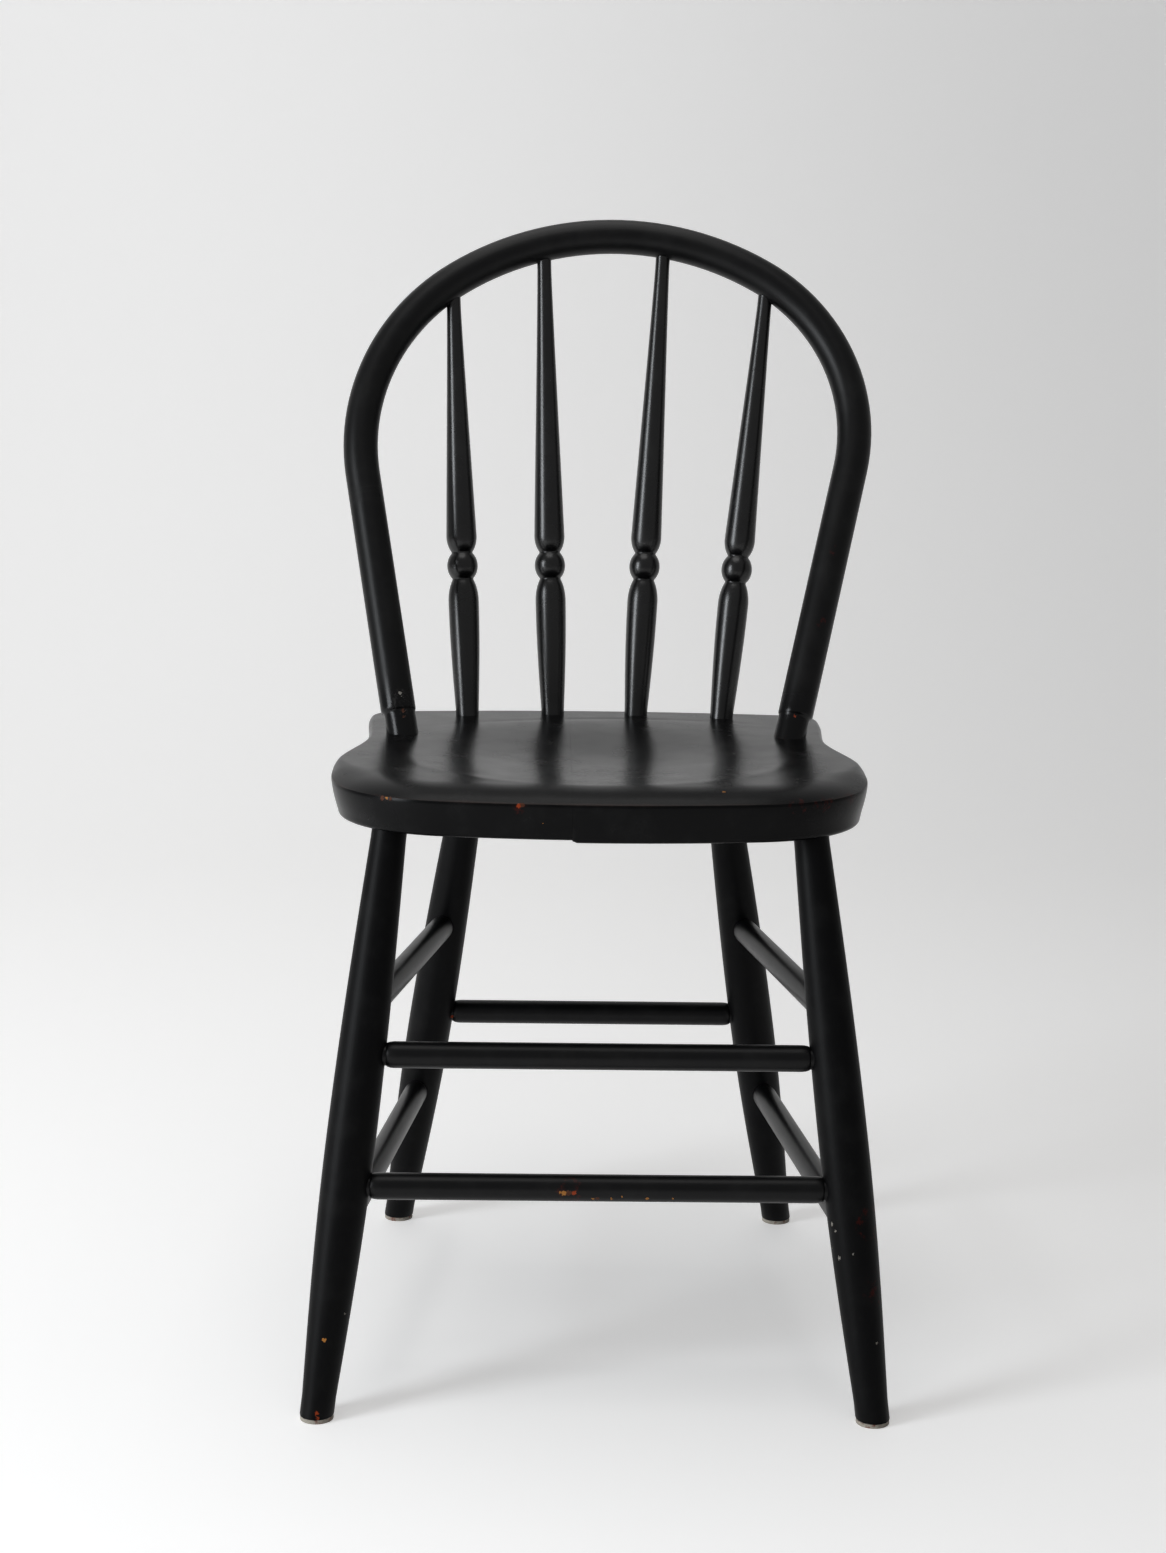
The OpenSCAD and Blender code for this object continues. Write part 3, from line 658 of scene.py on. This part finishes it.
# Each step: millimetres up the leg from the seat's top, radius, and share of the neck's shift.
NECK_STEPS = [(TENON_END, NECK_R, 1), (0, NECK_R, 1), (8, NECK_R, 1), (14.5, NECK_R, 1),
              (16.4, NECK_R + 0.2 * MM, 0.9), (17.2, NECK_R + 0.7 * MM, 0.55),
              (18.0, BOW_R - 0.3 * MM, 0.15), (19.2, BOW_R - 0.05 * MM, 0.02), (NECK_TOP, BOW_R, 0)]


def ring_points(piece):
    mesh = bmesh.from_edit_mesh(piece.data)
    return [v.co for v in mesh.verts if v.select]


def move_ring(piece, place, ratio=1.0):
    """Carries the chosen ring to a place, as a new ring, and resizes it about its middle."""
    step = place - ring_middle(ring_points(piece))
    bpy.ops.mesh.extrude_edges_move(TRANSFORM_OT_translate={"value": step})
    if abs(ratio - 1) > 1e-6:
        bpy.ops.transform.resize(value=(ratio,) * 3, center_override=place)


print("a neck takes", len(NECK_STEPS), "rings")

# %% Start at the left foot
bpy.ops.object.select_all(action="DESELECT")
left_dir = Vector((math.cos(left_angle), math.sin(left_angle), 0))
right_dir = Vector((math.cos(right_angle), math.sin(right_angle), 0))
left_foot, right_foot = Vector((-BOW_FOOT_X, 0, 0)), Vector((BOW_FOOT_X, 0, 0))
inward = Vector((NECK_SHIFT, 0, 0))
bpy.ops.mesh.primitive_circle_add(
    vertices=SIDES, radius=NECK_R, fill_type="NGON",
    location=left_foot + left_dir * TENON_END * MM + inward,
    rotation=(math.pi / 2, 0, left_angle + math.pi / 2))
bow = bpy.context.active_object
bow.name = bow.data.name = "bent_bow"
settle(bow)
bpy.ops.object.mode_set(mode="EDIT")
bpy.ops.mesh.select_mode(type="EDGE")
bpy.ops.mesh.select_all(action="SELECT")
radius = NECK_R
for up, next_radius, shift in NECK_STEPS[1:]:
    move_ring(bow, left_foot + left_dir * up * MM + inward * shift, next_radius / radius)
    radius = next_radius
for up in span(NECK_TOP * MM, left_leg, LEG_RINGS)[1:]:
    move_ring(bow, left_foot + left_dir * up)
print("left leg reaches", [round(c / MM, 1) for c in ring_middle(ring_points(bow))], "mm")

# %% Sweep round the arcs and down the right leg
def sweep(piece, centre, start_angle, end_angle, steps):
    """Spins the chosen ring about a centre and tells how far it missed. Spin counts a
    clockwise turn as positive."""
    at = ring_middle(ring_points(piece))
    turn = end_angle - start_angle
    wanted = centre + Matrix.Rotation(turn, 3, "Z") @ (at - centre)
    bpy.ops.mesh.spin(steps=steps, angle=-turn, center=centre, axis=(0, 0, 1), use_auto_merge=False)
    return (ring_middle(ring_points(piece)) - wanted).length


misses = [sweep(bow, left_c, left_angle + math.pi / 2, left_join, ARC_RINGS),
          sweep(bow, top_c, left_join, right_join, TOP_RINGS),
          sweep(bow, right_c, right_join, right_angle - math.pi / 2, ARC_RINGS)]
for up in reversed(span(NECK_TOP * MM, right_leg, LEG_RINGS)[:-1]):
    move_ring(bow, right_foot + right_dir * up)
for (up, radius, shift), (_, last, _) in zip(reversed(NECK_STEPS[:-1]), reversed(NECK_STEPS)):
    move_ring(bow, right_foot + right_dir * up * MM - inward * shift, radius / last)
bpy.ops.mesh.edge_face_add()
bpy.ops.mesh.select_mode(type="VERT")
close_up(bow)
print("arcs missed by", [round(m / MM, 3) for m in misses], "mm;", len(bow.data.vertices), "points")

# %% Brush marks follow the rod, and the neck's step is an edge that wears
WORN_AT, WORN_WIDE = 17.5 * MM, 3 * MM
bow.data.attributes.new("own", "FLOAT_VECTOR", "POINT")
bow.data.attributes.new("edge", "FLOAT", "POINT")
stored = bow.data.attributes
for vertex, item, worn in zip(bow.data.vertices, stored["own"].data, stored["edge"].data):
    x, y, z = vertex.co
    if y > top_c.y:
        angle = math.atan2(y - top_c.y, x - BOW_TOP_X)
        item.vector = ((Vector((x, y, 0)) - top_c).length, z, -TOP_R * angle)
    else:
        item.vector = (abs(x - BOW_TOP_X), z, (y - top_c.y) * (1 if x > 0 else -1))
    worn.value = max(0.0, 1 - abs(y - WORN_AT) / WORN_WIDE) if y > 0 else 0.0
place_on = Matrix.Translation(Vector((SEAT_X, SEAT_Y + SEAT_DEPTH / 2 - BOW_FOOT_IN, SEAT_HEIGHT)))
bow.matrix_world = place_on @ Matrix.Rotation(math.pi / 2 - BOW_LEAN, 4, "X")
settle(bow)
smooth(bow, angle=60)
carry(bow, "bow", bow_paint)

# %% [markdown]
# ## Seat
# The seat is two boards glued edge to edge and sawn to a shield shape. Its top is hollowed
# for the sitter, its front is rolled down, and its sides are undercut. The whole blank is
# made first, as the maker did, and parted at the joint afterwards, so that both boards
# share one hollow. The right board is a little thicker, so it hangs lower underneath.
# The blank starts as a circle, whose points are moved out to the sawn outline and then
# extruded ring by ring: round the lower edge, up the side, over the arris and in across
# the top. It could be sculpted from a slab, but rings keep the edge even all the way round.

# %% The seat's outline
HALF_W, FRONT_R, BACK_R = 201.5 * MM, 700 * MM, 1150 * MM
CORNER_R, REAR_R, WAIST_IN, REAR_IN = 100 * MM, 30 * MM, 17 * MM, 11.5 * MM
FLARE_BACK, WAIST_BACK = 17 * MM, 12 * MM
FRONT_Y, BACK_Y = -SEAT_DEPTH / 2, SEAT_DEPTH / 2
corner_x = HALF_W - CORNER_R
corner_y = FRONT_Y + FRONT_R - math.sqrt((FRONT_R - CORNER_R) ** 2 - corner_x ** 2)
front_turn = math.atan2(corner_x, FRONT_Y + FRONT_R - corner_y)
rear_w = HALF_W - REAR_IN
rear_x = rear_w - REAR_R
rear_y = BACK_Y - BACK_R + math.sqrt((BACK_R - REAR_R) ** 2 - rear_x ** 2)
rear_turn = math.atan2(rear_x, rear_y - BACK_Y + BACK_R)
flare_y = corner_y + FLARE_BACK
waist_y = (flare_y + rear_y) / 2 + WAIST_BACK


def ease(a, b, t):
    return a + (b - a) * (1 - math.cos(math.pi * t)) / 2


def arc(x, y, radius, first, last, steps):
    return [(x + radius * math.sin(a), y - radius * math.cos(a)) for a in span(first, last, steps)]


half = arc(0, FRONT_Y + FRONT_R, FRONT_R, 0, front_turn, 14)[:-1]
half += arc(corner_x, corner_y, CORNER_R, front_turn, math.pi / 2, 24)
half += [(ease(HALF_W, HALF_W - WAIST_IN, t), flare_y + (waist_y - flare_y) * t) for t in span(0, 1, 18)[:-1]]
half += [(ease(HALF_W - WAIST_IN, rear_w, t), waist_y + (rear_y - waist_y) * t) for t in span(0, 1, 14)[:-1]]
half += arc(rear_x, rear_y, REAR_R, math.pi / 2, math.pi - rear_turn, 12)
half += arc(0, BACK_Y - BACK_R, BACK_R, math.pi - rear_turn, math.pi, 14)[1:-1]
outline = half + [(0, BACK_Y)] + [(-x, y) for x, y in reversed(half[1:])]
print("outline of", len(outline), "points")

# %% [markdown]
# ## The hollow and the rings
# The height of every ring on the top comes from one function: a round hollow for the
# sitter, a faint rim in front of it and a shallow gutter behind it, before the spindles.
# The hollow could be cut with a sphere, but a cosine meets the flat without a crease.

# %% The height of the top
SADDLE_R, SADDLE_DEPTH, SADDLE_IN = 166 * MM, 8 * MM, 14 * MM
RIM_R, RIM_RISE, RIM_W, RIM_TO, RIM_FADE = 150 * MM, 0.5 * MM, 7 * MM, 70 * MM, 100 * MM
GUTTER_Y, GUTTER_DEPTH, GUTTER_W = 152 * MM, 0.45 * MM, 4.5 * MM
GUTTER_X, GUTTER_REACH, GUTTER_CURVE, WAVE = 25 * MM, 105 * MM, 1.8, 0.02 * MM
saddle = Vector((0, FRONT_Y + SADDLE_IN + SADDLE_R))


def bell(distance, width):
    return math.exp(-(distance / width) ** 2)


def deck(x, y):
    """Height of the top: the hollow, the faint rim before it and the gutter behind it."""
    away = (Vector((x, y)) - saddle).length
    dish = SADDLE_DEPTH * (1 + math.cos(math.pi * min(1, away / SADDLE_R))) / 2
    front = min(1, max(0, (saddle.y + RIM_TO - y) / RIM_FADE))
    rim = RIM_RISE * front * bell(away - RIM_R, RIM_W)
    gutter_y = GUTTER_Y - GUTTER_CURVE * (x - GUTTER_X) ** 2
    gutter = GUTTER_DEPTH * bell(y - gutter_y, GUTTER_W) * bell(x, GUTTER_REACH)
    wave = WAVE * noise.noise(Vector((x * 16, y * 9, 0)))
    return SEAT_HEIGHT - dish + rim - gutter + wave * min(1, away / SADDLE_R)


print("the hollow is", round((SEAT_HEIGHT - deck(*saddle)) / MM, 1), "mm deep")

# %% The seat's rings
EDGE_ROUND, UNDERCUT, FOOT_ROUND = 4 * MM, 5 * MM, 4 * MM
ROLL_W, FRONT_ROLL, ROLL_BACK, ROLL_FADE, ROLL_CURVE = 30 * MM, 9 * MM, 40 * MM, 90 * MM, 2.23
ARRIS_GAP, WALL_CURVE = 1.2 * MM, 1.5


def inset(i, distance):
    a, b = Vector(outline[i - 1]), Vector(outline[(i + 1) % len(outline)])
    t = (b - a).normalized()
    return Vector(outline[i]) + distance * Vector((-t.y, t.x))


def roll_share(i):
    return ease(0, 1, min(1, max(0, (corner_y + ROLL_BACK - outline[i][1]) / ROLL_FADE)))


def side_ring(depth, z):
    return [(*inset(i, depth), z) for i in range(len(outline))]


def arris_z(i):
    return SEAT_HEIGHT - EDGE_ROUND - (FRONT_ROLL - EDGE_ROUND) * roll_share(i)


def wall_ring(t):
    """Up the undercut side, from t = 0 low down to t = 1 just under the arris."""
    low_z = SEAT_BASE + FOOT_ROUND
    return [(*inset(i, UNDERCUT * (1 - t) ** WALL_CURVE), low_z + (arris_z(i) - ARRIS_GAP - low_z) * t)
            for i in range(len(outline))]


def roll_ring(t):
    """Over the arris and up the roll, from t = 0 at the arris to t = 1 on the deck."""
    ring = []
    for i in range(len(outline)):
        width = EDGE_ROUND + ROLL_W * roll_share(i)
        top = inset(i, width)
        rise = deck(top.x, top.y) - arris_z(i)
        ring.append((*inset(i, width * t), arris_z(i) + rise * (1 - (1 - t) ** ROLL_CURVE)))
    return ring


def deck_ring(s):
    ring = []
    for i in range(len(outline)):
        top = inset(i, EDGE_ROUND + ROLL_W * roll_share(i))
        x, y = saddle + (top - saddle) * s
        ring.append((x, y, deck(x, y)))
    return ring


print("one ring has", len(deck_ring(1)), "points")

# %% The rings in order, each with its wear
quarter = [math.radians(a) for a in span(0, 90, 5)]
rings = [(side_ring(UNDERCUT + FOOT_ROUND * (1 - math.sin(a)), SEAT_BASE + FOOT_ROUND * (1 - math.cos(a))), 0)
         for a in quarter]
rings += [(wall_ring(t), 0.0 if t < 0.9 else 0.5) for t in (0.2, 0.4, 0.6, 0.8, 0.93, 1.0)]
rings += [(roll_ring(t), e) for t, e in ((0.012, 0.9), (0.03, 1.0), (0.06, 0.8), (0.11, 0.45), (0.18, 0.1))]
rings += [(roll_ring(t), 0) for t in (0.28, 0.4, 0.52, 0.64, 0.76, 0.88, 1.0)]
rings += [(deck_ring(s), 0) for s in span(1, 0.02, 58)[1:]]
print(len(rings), "rings")

# %% Build the blank ring by ring
bpy.ops.object.select_all(action="DESELECT")
bpy.ops.mesh.primitive_circle_add(vertices=len(outline), radius=SEAT_DEPTH / 2, fill_type="NGON")
blank = bpy.context.active_object
blank.name = "seat_blank"
bpy.ops.object.mode_set(mode="EDIT")
bpy.ops.mesh.select_mode(type="EDGE")
mesh = bmesh.from_edit_mesh(blank.data)
station = mesh.verts.layers.int.new("station")
worn = mesh.verts.layers.float.new("edge")
mesh.verts.ensure_lookup_table()
order = sorted(mesh.verts, key=lambda v: (math.atan2(v.co.x, -v.co.y)) % (2 * math.pi - 1e-6))
for i, vertex in enumerate(order):
    vertex[station] = i
bpy.ops.mesh.select_all(action="SELECT")
for count, (ring, wear) in enumerate(rings):
    if count:
        bpy.ops.mesh.extrude_edges_move(TRANSFORM_OT_translate={"value": (0, 0, MM)})
    mesh = bmesh.from_edit_mesh(blank.data)
    station = mesh.verts.layers.int["station"]
    worn = mesh.verts.layers.float["edge"]
    for vertex in mesh.verts:
        if vertex.select:
            vertex.co = ring[vertex[station]]
            vertex[worn] = wear
    bmesh.update_edit_mesh(blank.data)
bpy.ops.mesh.edge_face_add()
bpy.ops.mesh.select_mode(type="VERT")
close_up(blank)
print("blank:", len(blank.data.vertices), "points")

# %% [markdown]
# ## The glue joint
# The blank is copied, and Bisect keeps one side of each copy and closes the cut. The cut's
# edges get a very small bevel, which is enough for a hairline to show in the paint. Two
# boards could be modelled apart, but their tops would hardly meet so exactly.

# %% Part it at the glue joint
SEAM_X, SEAM_BEVEL = -21 * MM, 0.06 * MM
BOARD_STEP, STEP_START, STEP_RUN = 2 * MM, 0.3, 3.5 * MM


def hang_lower(piece):
    """Drops the rounded lower edge and the underside, sloping down from the joint."""
    mesh = bmesh.from_edit_mesh(piece.data)
    for vertex in mesh.verts:
        if vertex.co.z < SEAT_BASE + FOOT_ROUND + NEAR:
            share = min(1, (vertex.co.x - SEAM_X) / STEP_RUN)
            vertex.co.z -= BOARD_STEP * (STEP_START + (1 - STEP_START) * share)
    bmesh.update_edit_mesh(piece.data)


def board(name, node, keep_left):
    piece = blank.copy()
    piece.data = blank.data.copy()
    piece.name = piece.data.name = name
    bpy.context.collection.objects.link(piece)
    only(piece)
    bpy.ops.object.mode_set(mode="EDIT")
    bpy.ops.mesh.select_all(action="SELECT")
    if not keep_left:
        bpy.ops.mesh.bisect(plane_co=(SEAM_X + STEP_RUN, 0, 0), plane_no=(1, 0, 0))
        bpy.ops.mesh.select_all(action="SELECT")
    bpy.ops.mesh.bisect(plane_co=(SEAM_X, 0, 0), plane_no=(1, 0, 0), use_fill=True,
                        clear_outer=keep_left, clear_inner=not keep_left)
    soften(SEAM_BEVEL, segments=1)
    if not keep_left:
        hang_lower(piece)
    bpy.ops.mesh.select_all(action="SELECT")
    bpy.ops.mesh.normals_make_consistent(inside=False)
    bpy.ops.object.mode_set(mode="OBJECT")
    own = piece.data.attributes.new("own", "FLOAT_VECTOR", "POINT")
    for vertex, item in zip(piece.data.vertices, own.data):
        item.vector = (vertex.co.x, vertex.co.z, vertex.co.y)
    piece.location = (SEAT_X, SEAT_Y, 0)
    settle(piece)
    smooth(piece, angle=43)
    carry(piece, node, seat_paint)


board("shaped_left_board", "seat_left_board", True)
board("shaped_right_board", "seat_right_board", False)
bpy.data.objects.remove(blank, do_unlink=True)

# %% [markdown]
# ## Felt pads
# A cream felt disc is glued under each foot. It is a short round slab whose rim has been
# pressed soft, so a filled circle is extruded and its rims are bevelled. Hair would make it
# fuzzy, but the pads are tiny, so a fine bump and some sheen are enough. The felt is soiled
# reddish brown in patches.

# %% Felt
FUZZ, SOIL, FUZZ_HEIGHT = 1800, 160, 0.4 * MM
FELT_DARK, FELT_PALE, FELT_SOIL = (0.36, 0.32, 0.26), (0.58, 0.54, 0.47), (0.2, 0.07, 0.045)
felt = bpy.data.materials.new("felt")
felt.use_nodes = True
tree = felt.node_tree
shader = tree.nodes["Principled BSDF"]
place = tree.nodes.new("ShaderNodeTexCoord").outputs["Object"]
fuzz = noise_node(tree, place, FUZZ, 4.0, 0.7).outputs["Fac"]
soil = noise_node(tree, place, SOIL, 4.0, 0.6).outputs["Fac"]
clean = blend_colour(tree, remap(tree, fuzz, 0.35, 0.7), FELT_DARK, FELT_PALE)
tree.links.new(blend_colour(tree, remap(tree, soil, 0.5, 0.68), clean, FELT_SOIL),
               shader.inputs["Base Color"])
bump = tree.nodes.new("ShaderNodeBump")
bump.inputs["Distance"].default_value = FUZZ_HEIGHT
tree.links.new(fuzz, bump.inputs["Height"])
tree.links.new(bump.outputs["Normal"], shader.inputs["Normal"])
shader.inputs["Roughness"].default_value = 0.95
shader.inputs["Sheen Weight"].default_value = 0.3
print("felt:", len(tree.nodes), "nodes")

# %% Pads
PAD_SIDES, PAD_ARRIS = 48, 0.8 * MM
for node in ("front_left_pad", "front_right_pad", "rear_left_pad", "rear_right_pad"):
    pad_low, pad_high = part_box(node)
    bpy.ops.object.select_all(action="DESELECT")
    bpy.ops.mesh.primitive_circle_add(
        vertices=PAD_SIDES, radius=(pad_high[0] - pad_low[0]) / 2, fill_type="NGON",
        location=((pad_low[0] + pad_high[0]) / 2, (pad_low[1] + pad_high[1]) / 2, 0))
    pad = bpy.context.active_object
    pad.name = pad.data.name = "felt_" + node
    settle(pad)
    bpy.ops.object.mode_set(mode="EDIT")
    bpy.ops.mesh.select_all(action="SELECT")
    bpy.ops.mesh.extrude_region_move(TRANSFORM_OT_translate={"value": (0, 0, pad_high[2])})
    bpy.ops.mesh.select_all(action="DESELECT")
    mesh = bmesh.from_edit_mesh(pad.data)
    for rim in mesh.edges:
        a, b = rim.verts
        rim.select = abs(a.co.z - b.co.z) < NEAR
    mesh.select_flush_mode()
    soften(PAD_ARRIS, segments=3)
    close_up(pad)
    smooth(pad, angle=50)
    carry(pad, node, felt)

# %% [markdown]
# ## Studio
# A white floor runs back and curves up into a white wall. A floor and a separate wall would
# show a corner behind the chair, and one sweep doesn't. It is one-sided, so that it doesn't
# hide the chair from behind.

# %% Floor and backdrop
SWEEP_W, SWEEP_FRONT, WALL_Y, COVE_R, WALL_RISE = 12, -6.5, 3.2, 1.6, 4
bpy.ops.object.select_all(action="DESELECT")
bpy.ops.mesh.primitive_plane_add(size=1, location=(0, 0, 0))
sweep_piece = bpy.context.active_object
sweep_piece.name = "floor_and_wall"
sweep_piece.scale = (SWEEP_W, 1, 1)
sweep_piece.location = (0, SWEEP_FRONT + 0.5, 0)
settle(sweep_piece)
bpy.ops.object.mode_set(mode="EDIT")
bpy.ops.mesh.select_all(action="DESELECT")
mesh = bmesh.from_edit_mesh(sweep_piece.data)
for rim in mesh.edges:
    rim.select = all(v.co.y > SWEEP_FRONT + 0.9 for v in rim.verts)
mesh.select_flush_mode()
bpy.ops.mesh.select_mode(type="EDGE")
run = WALL_Y - COVE_R - (SWEEP_FRONT + 1)
bpy.ops.mesh.extrude_edges_move(TRANSFORM_OT_translate={"value": (0, run, 0)})
bpy.ops.mesh.spin(steps=16, angle=-math.pi / 2, center=(0, WALL_Y - COVE_R, COVE_R), axis=(1, 0, 0),
                  use_auto_merge=False)
bpy.ops.mesh.extrude_edges_move(TRANSFORM_OT_translate={"value": (0, 0, WALL_RISE)})
bpy.ops.mesh.select_mode(type="VERT")
bpy.ops.mesh.select_all(action="SELECT")
bpy.ops.mesh.remove_doubles(threshold=NEAR)
bpy.ops.object.mode_set(mode="OBJECT")
if sweep_piece.data.polygons[0].normal.z < 0:
    sweep_piece.data.flip_normals()
smooth(sweep_piece, angle=60)
print("sweep reaches", [round(d, 2) for d in sweep_piece.dimensions])

# %% [markdown]
# ## The white of the sweep
# A wall is never evenly bright: it fades away from the window. Brighter lamps would whiten
# it, but they would grey the black paint as well. A faint glow is painted on instead. This is
# painted light: strongest on the left by the window, fading to the right, and a little
# stronger on the floor in front. Only the camera and reflections see it, so none of its light
# falls on the chair or the floor.

# %% White floor
# Painted light: the glow is stronger on the left, by the window, weaker on the right, and a little stronger
# on the floor in front
GLOW_LEFT, GLOW_RIGHT, GLOW_HALF = 0.49, 0.29, 1.3
PAINTED_FRONT, FRONT_FROM, FRONT_TO = 0.14, -1.0, -0.1
paper = bpy.data.materials.new("white_floor")
paper.use_nodes = True
tree = paper.node_tree
shader = tree.nodes["Principled BSDF"]
shader.inputs["Base Color"].default_value = (0.82, 0.815, 0.81, 1)
shader.inputs["Roughness"].default_value = 0.6
shader.inputs["Specular IOR Level"].default_value = 0.2
rays = tree.nodes.new("ShaderNodeLightPath")
mirrored = math_node(tree, "MAXIMUM", rays.outputs["Is Glossy Ray"],
                     rays.outputs["Is Transmission Ray"])
seen = math_node(tree, "MAXIMUM", rays.outputs["Is Camera Ray"], mirrored)
glow = tree.nodes.new("ShaderNodeEmission")
glow.inputs["Color"].default_value = (1.0, 0.995, 0.99, 1)
place = tree.nodes.new("ShaderNodeTexCoord").outputs["Object"]
across = tree.nodes.new("ShaderNodeSeparateXYZ")
tree.links.new(place, across.inputs[0])
# painted falloff of the window's light, from left to right
painted_falloff = remap(tree, across.outputs["X"], -GLOW_HALF, GLOW_HALF, GLOW_LEFT, GLOW_RIGHT)
# painted light on the floor in front of the chair
painted_front_glow = remap(tree, across.outputs["Y"], FRONT_FROM, FRONT_TO, PAINTED_FRONT, 0.0)
tree.links.new(math_node(tree, "MULTIPLY", seen, math_node(tree, "ADD", painted_falloff, painted_front_glow)),
               glow.inputs["Strength"])
both = tree.nodes.new("ShaderNodeAddShader")
clear = tree.nodes.new("ShaderNodeBsdfTransparent")
sided = tree.nodes.new("ShaderNodeMixShader")
tree.links.new(shader.outputs[0], both.inputs[0])
tree.links.new(glow.outputs[0], both.inputs[1])
tree.links.new(tree.nodes.new("ShaderNodeNewGeometry").outputs["Backfacing"], sided.inputs[0])
tree.links.new(both.outputs[0], sided.inputs[1])
tree.links.new(clear.outputs[0], sided.inputs[2])
tree.links.new(sided.outputs[0], tree.nodes["Material Output"].inputs["Surface"])
sweep_piece.data.materials.append(paper)
print("white floor:", len(tree.nodes), "nodes")

# %% [markdown]
# ## Light
# One tall soft lamp stands to the left and in front, like a window, a broad one hangs
# overhead, and a dim even world fills the shadows. A sun would cast hard shadows, and large
# area lamps cast soft ones.

# %% Lamps
def lamp(name, place, target, width, height, power, tint):
    data = bpy.data.lights.new(name, "AREA")
    data.shape = "RECTANGLE"
    data.size, data.size_y = width, height
    data.energy = power
    data.color = tint
    piece = bpy.data.objects.new(name, data)
    piece.location = place
    piece.rotation_euler = (Vector(target) - Vector(place)).to_track_quat("-Z", "Y").to_euler()
    bpy.context.collection.objects.link(piece)


lamp("window_lamp", place=(-2.3, -1.35, 1.05), target=(0, 0, 0.5), width=0.8, height=1.6,
     power=48, tint=(0.92, 0.96, 1.0))
lamp("ceiling_lamp", place=(-0.2, 0.1, 2.9), target=(0, 0.1, 0.4), width=2.6, height=1.6,
     power=24, tint=(1.0, 0.99, 0.98))

# %% World
FILL, SEEN, MIRRORED = 0.12, 0.7, 0.22
world = bpy.data.worlds.new("world")
bpy.context.scene.world = world
world.use_nodes = True
tree = world.node_tree
backdrop = tree.nodes["Background"]
rays = tree.nodes.new("ShaderNodeLightPath")
backdrop.inputs["Color"].default_value = (1.0, 1.0, 1.0, 1)
seen = math_node(tree, "MULTIPLY", rays.outputs["Is Camera Ray"], SEEN)
mirrored = math_node(tree, "MULTIPLY", rays.outputs["Is Glossy Ray"], MIRRORED)
level = math_node(tree, "ADD", math_node(tree, "ADD", seen, mirrored), FILL)
tree.links.new(level, backdrop.inputs["Strength"])
bpy.context.scene.view_settings.view_transform = "Standard"
print("world lights the chair at", FILL, "and shows at", round(FILL + SEEN, 2))
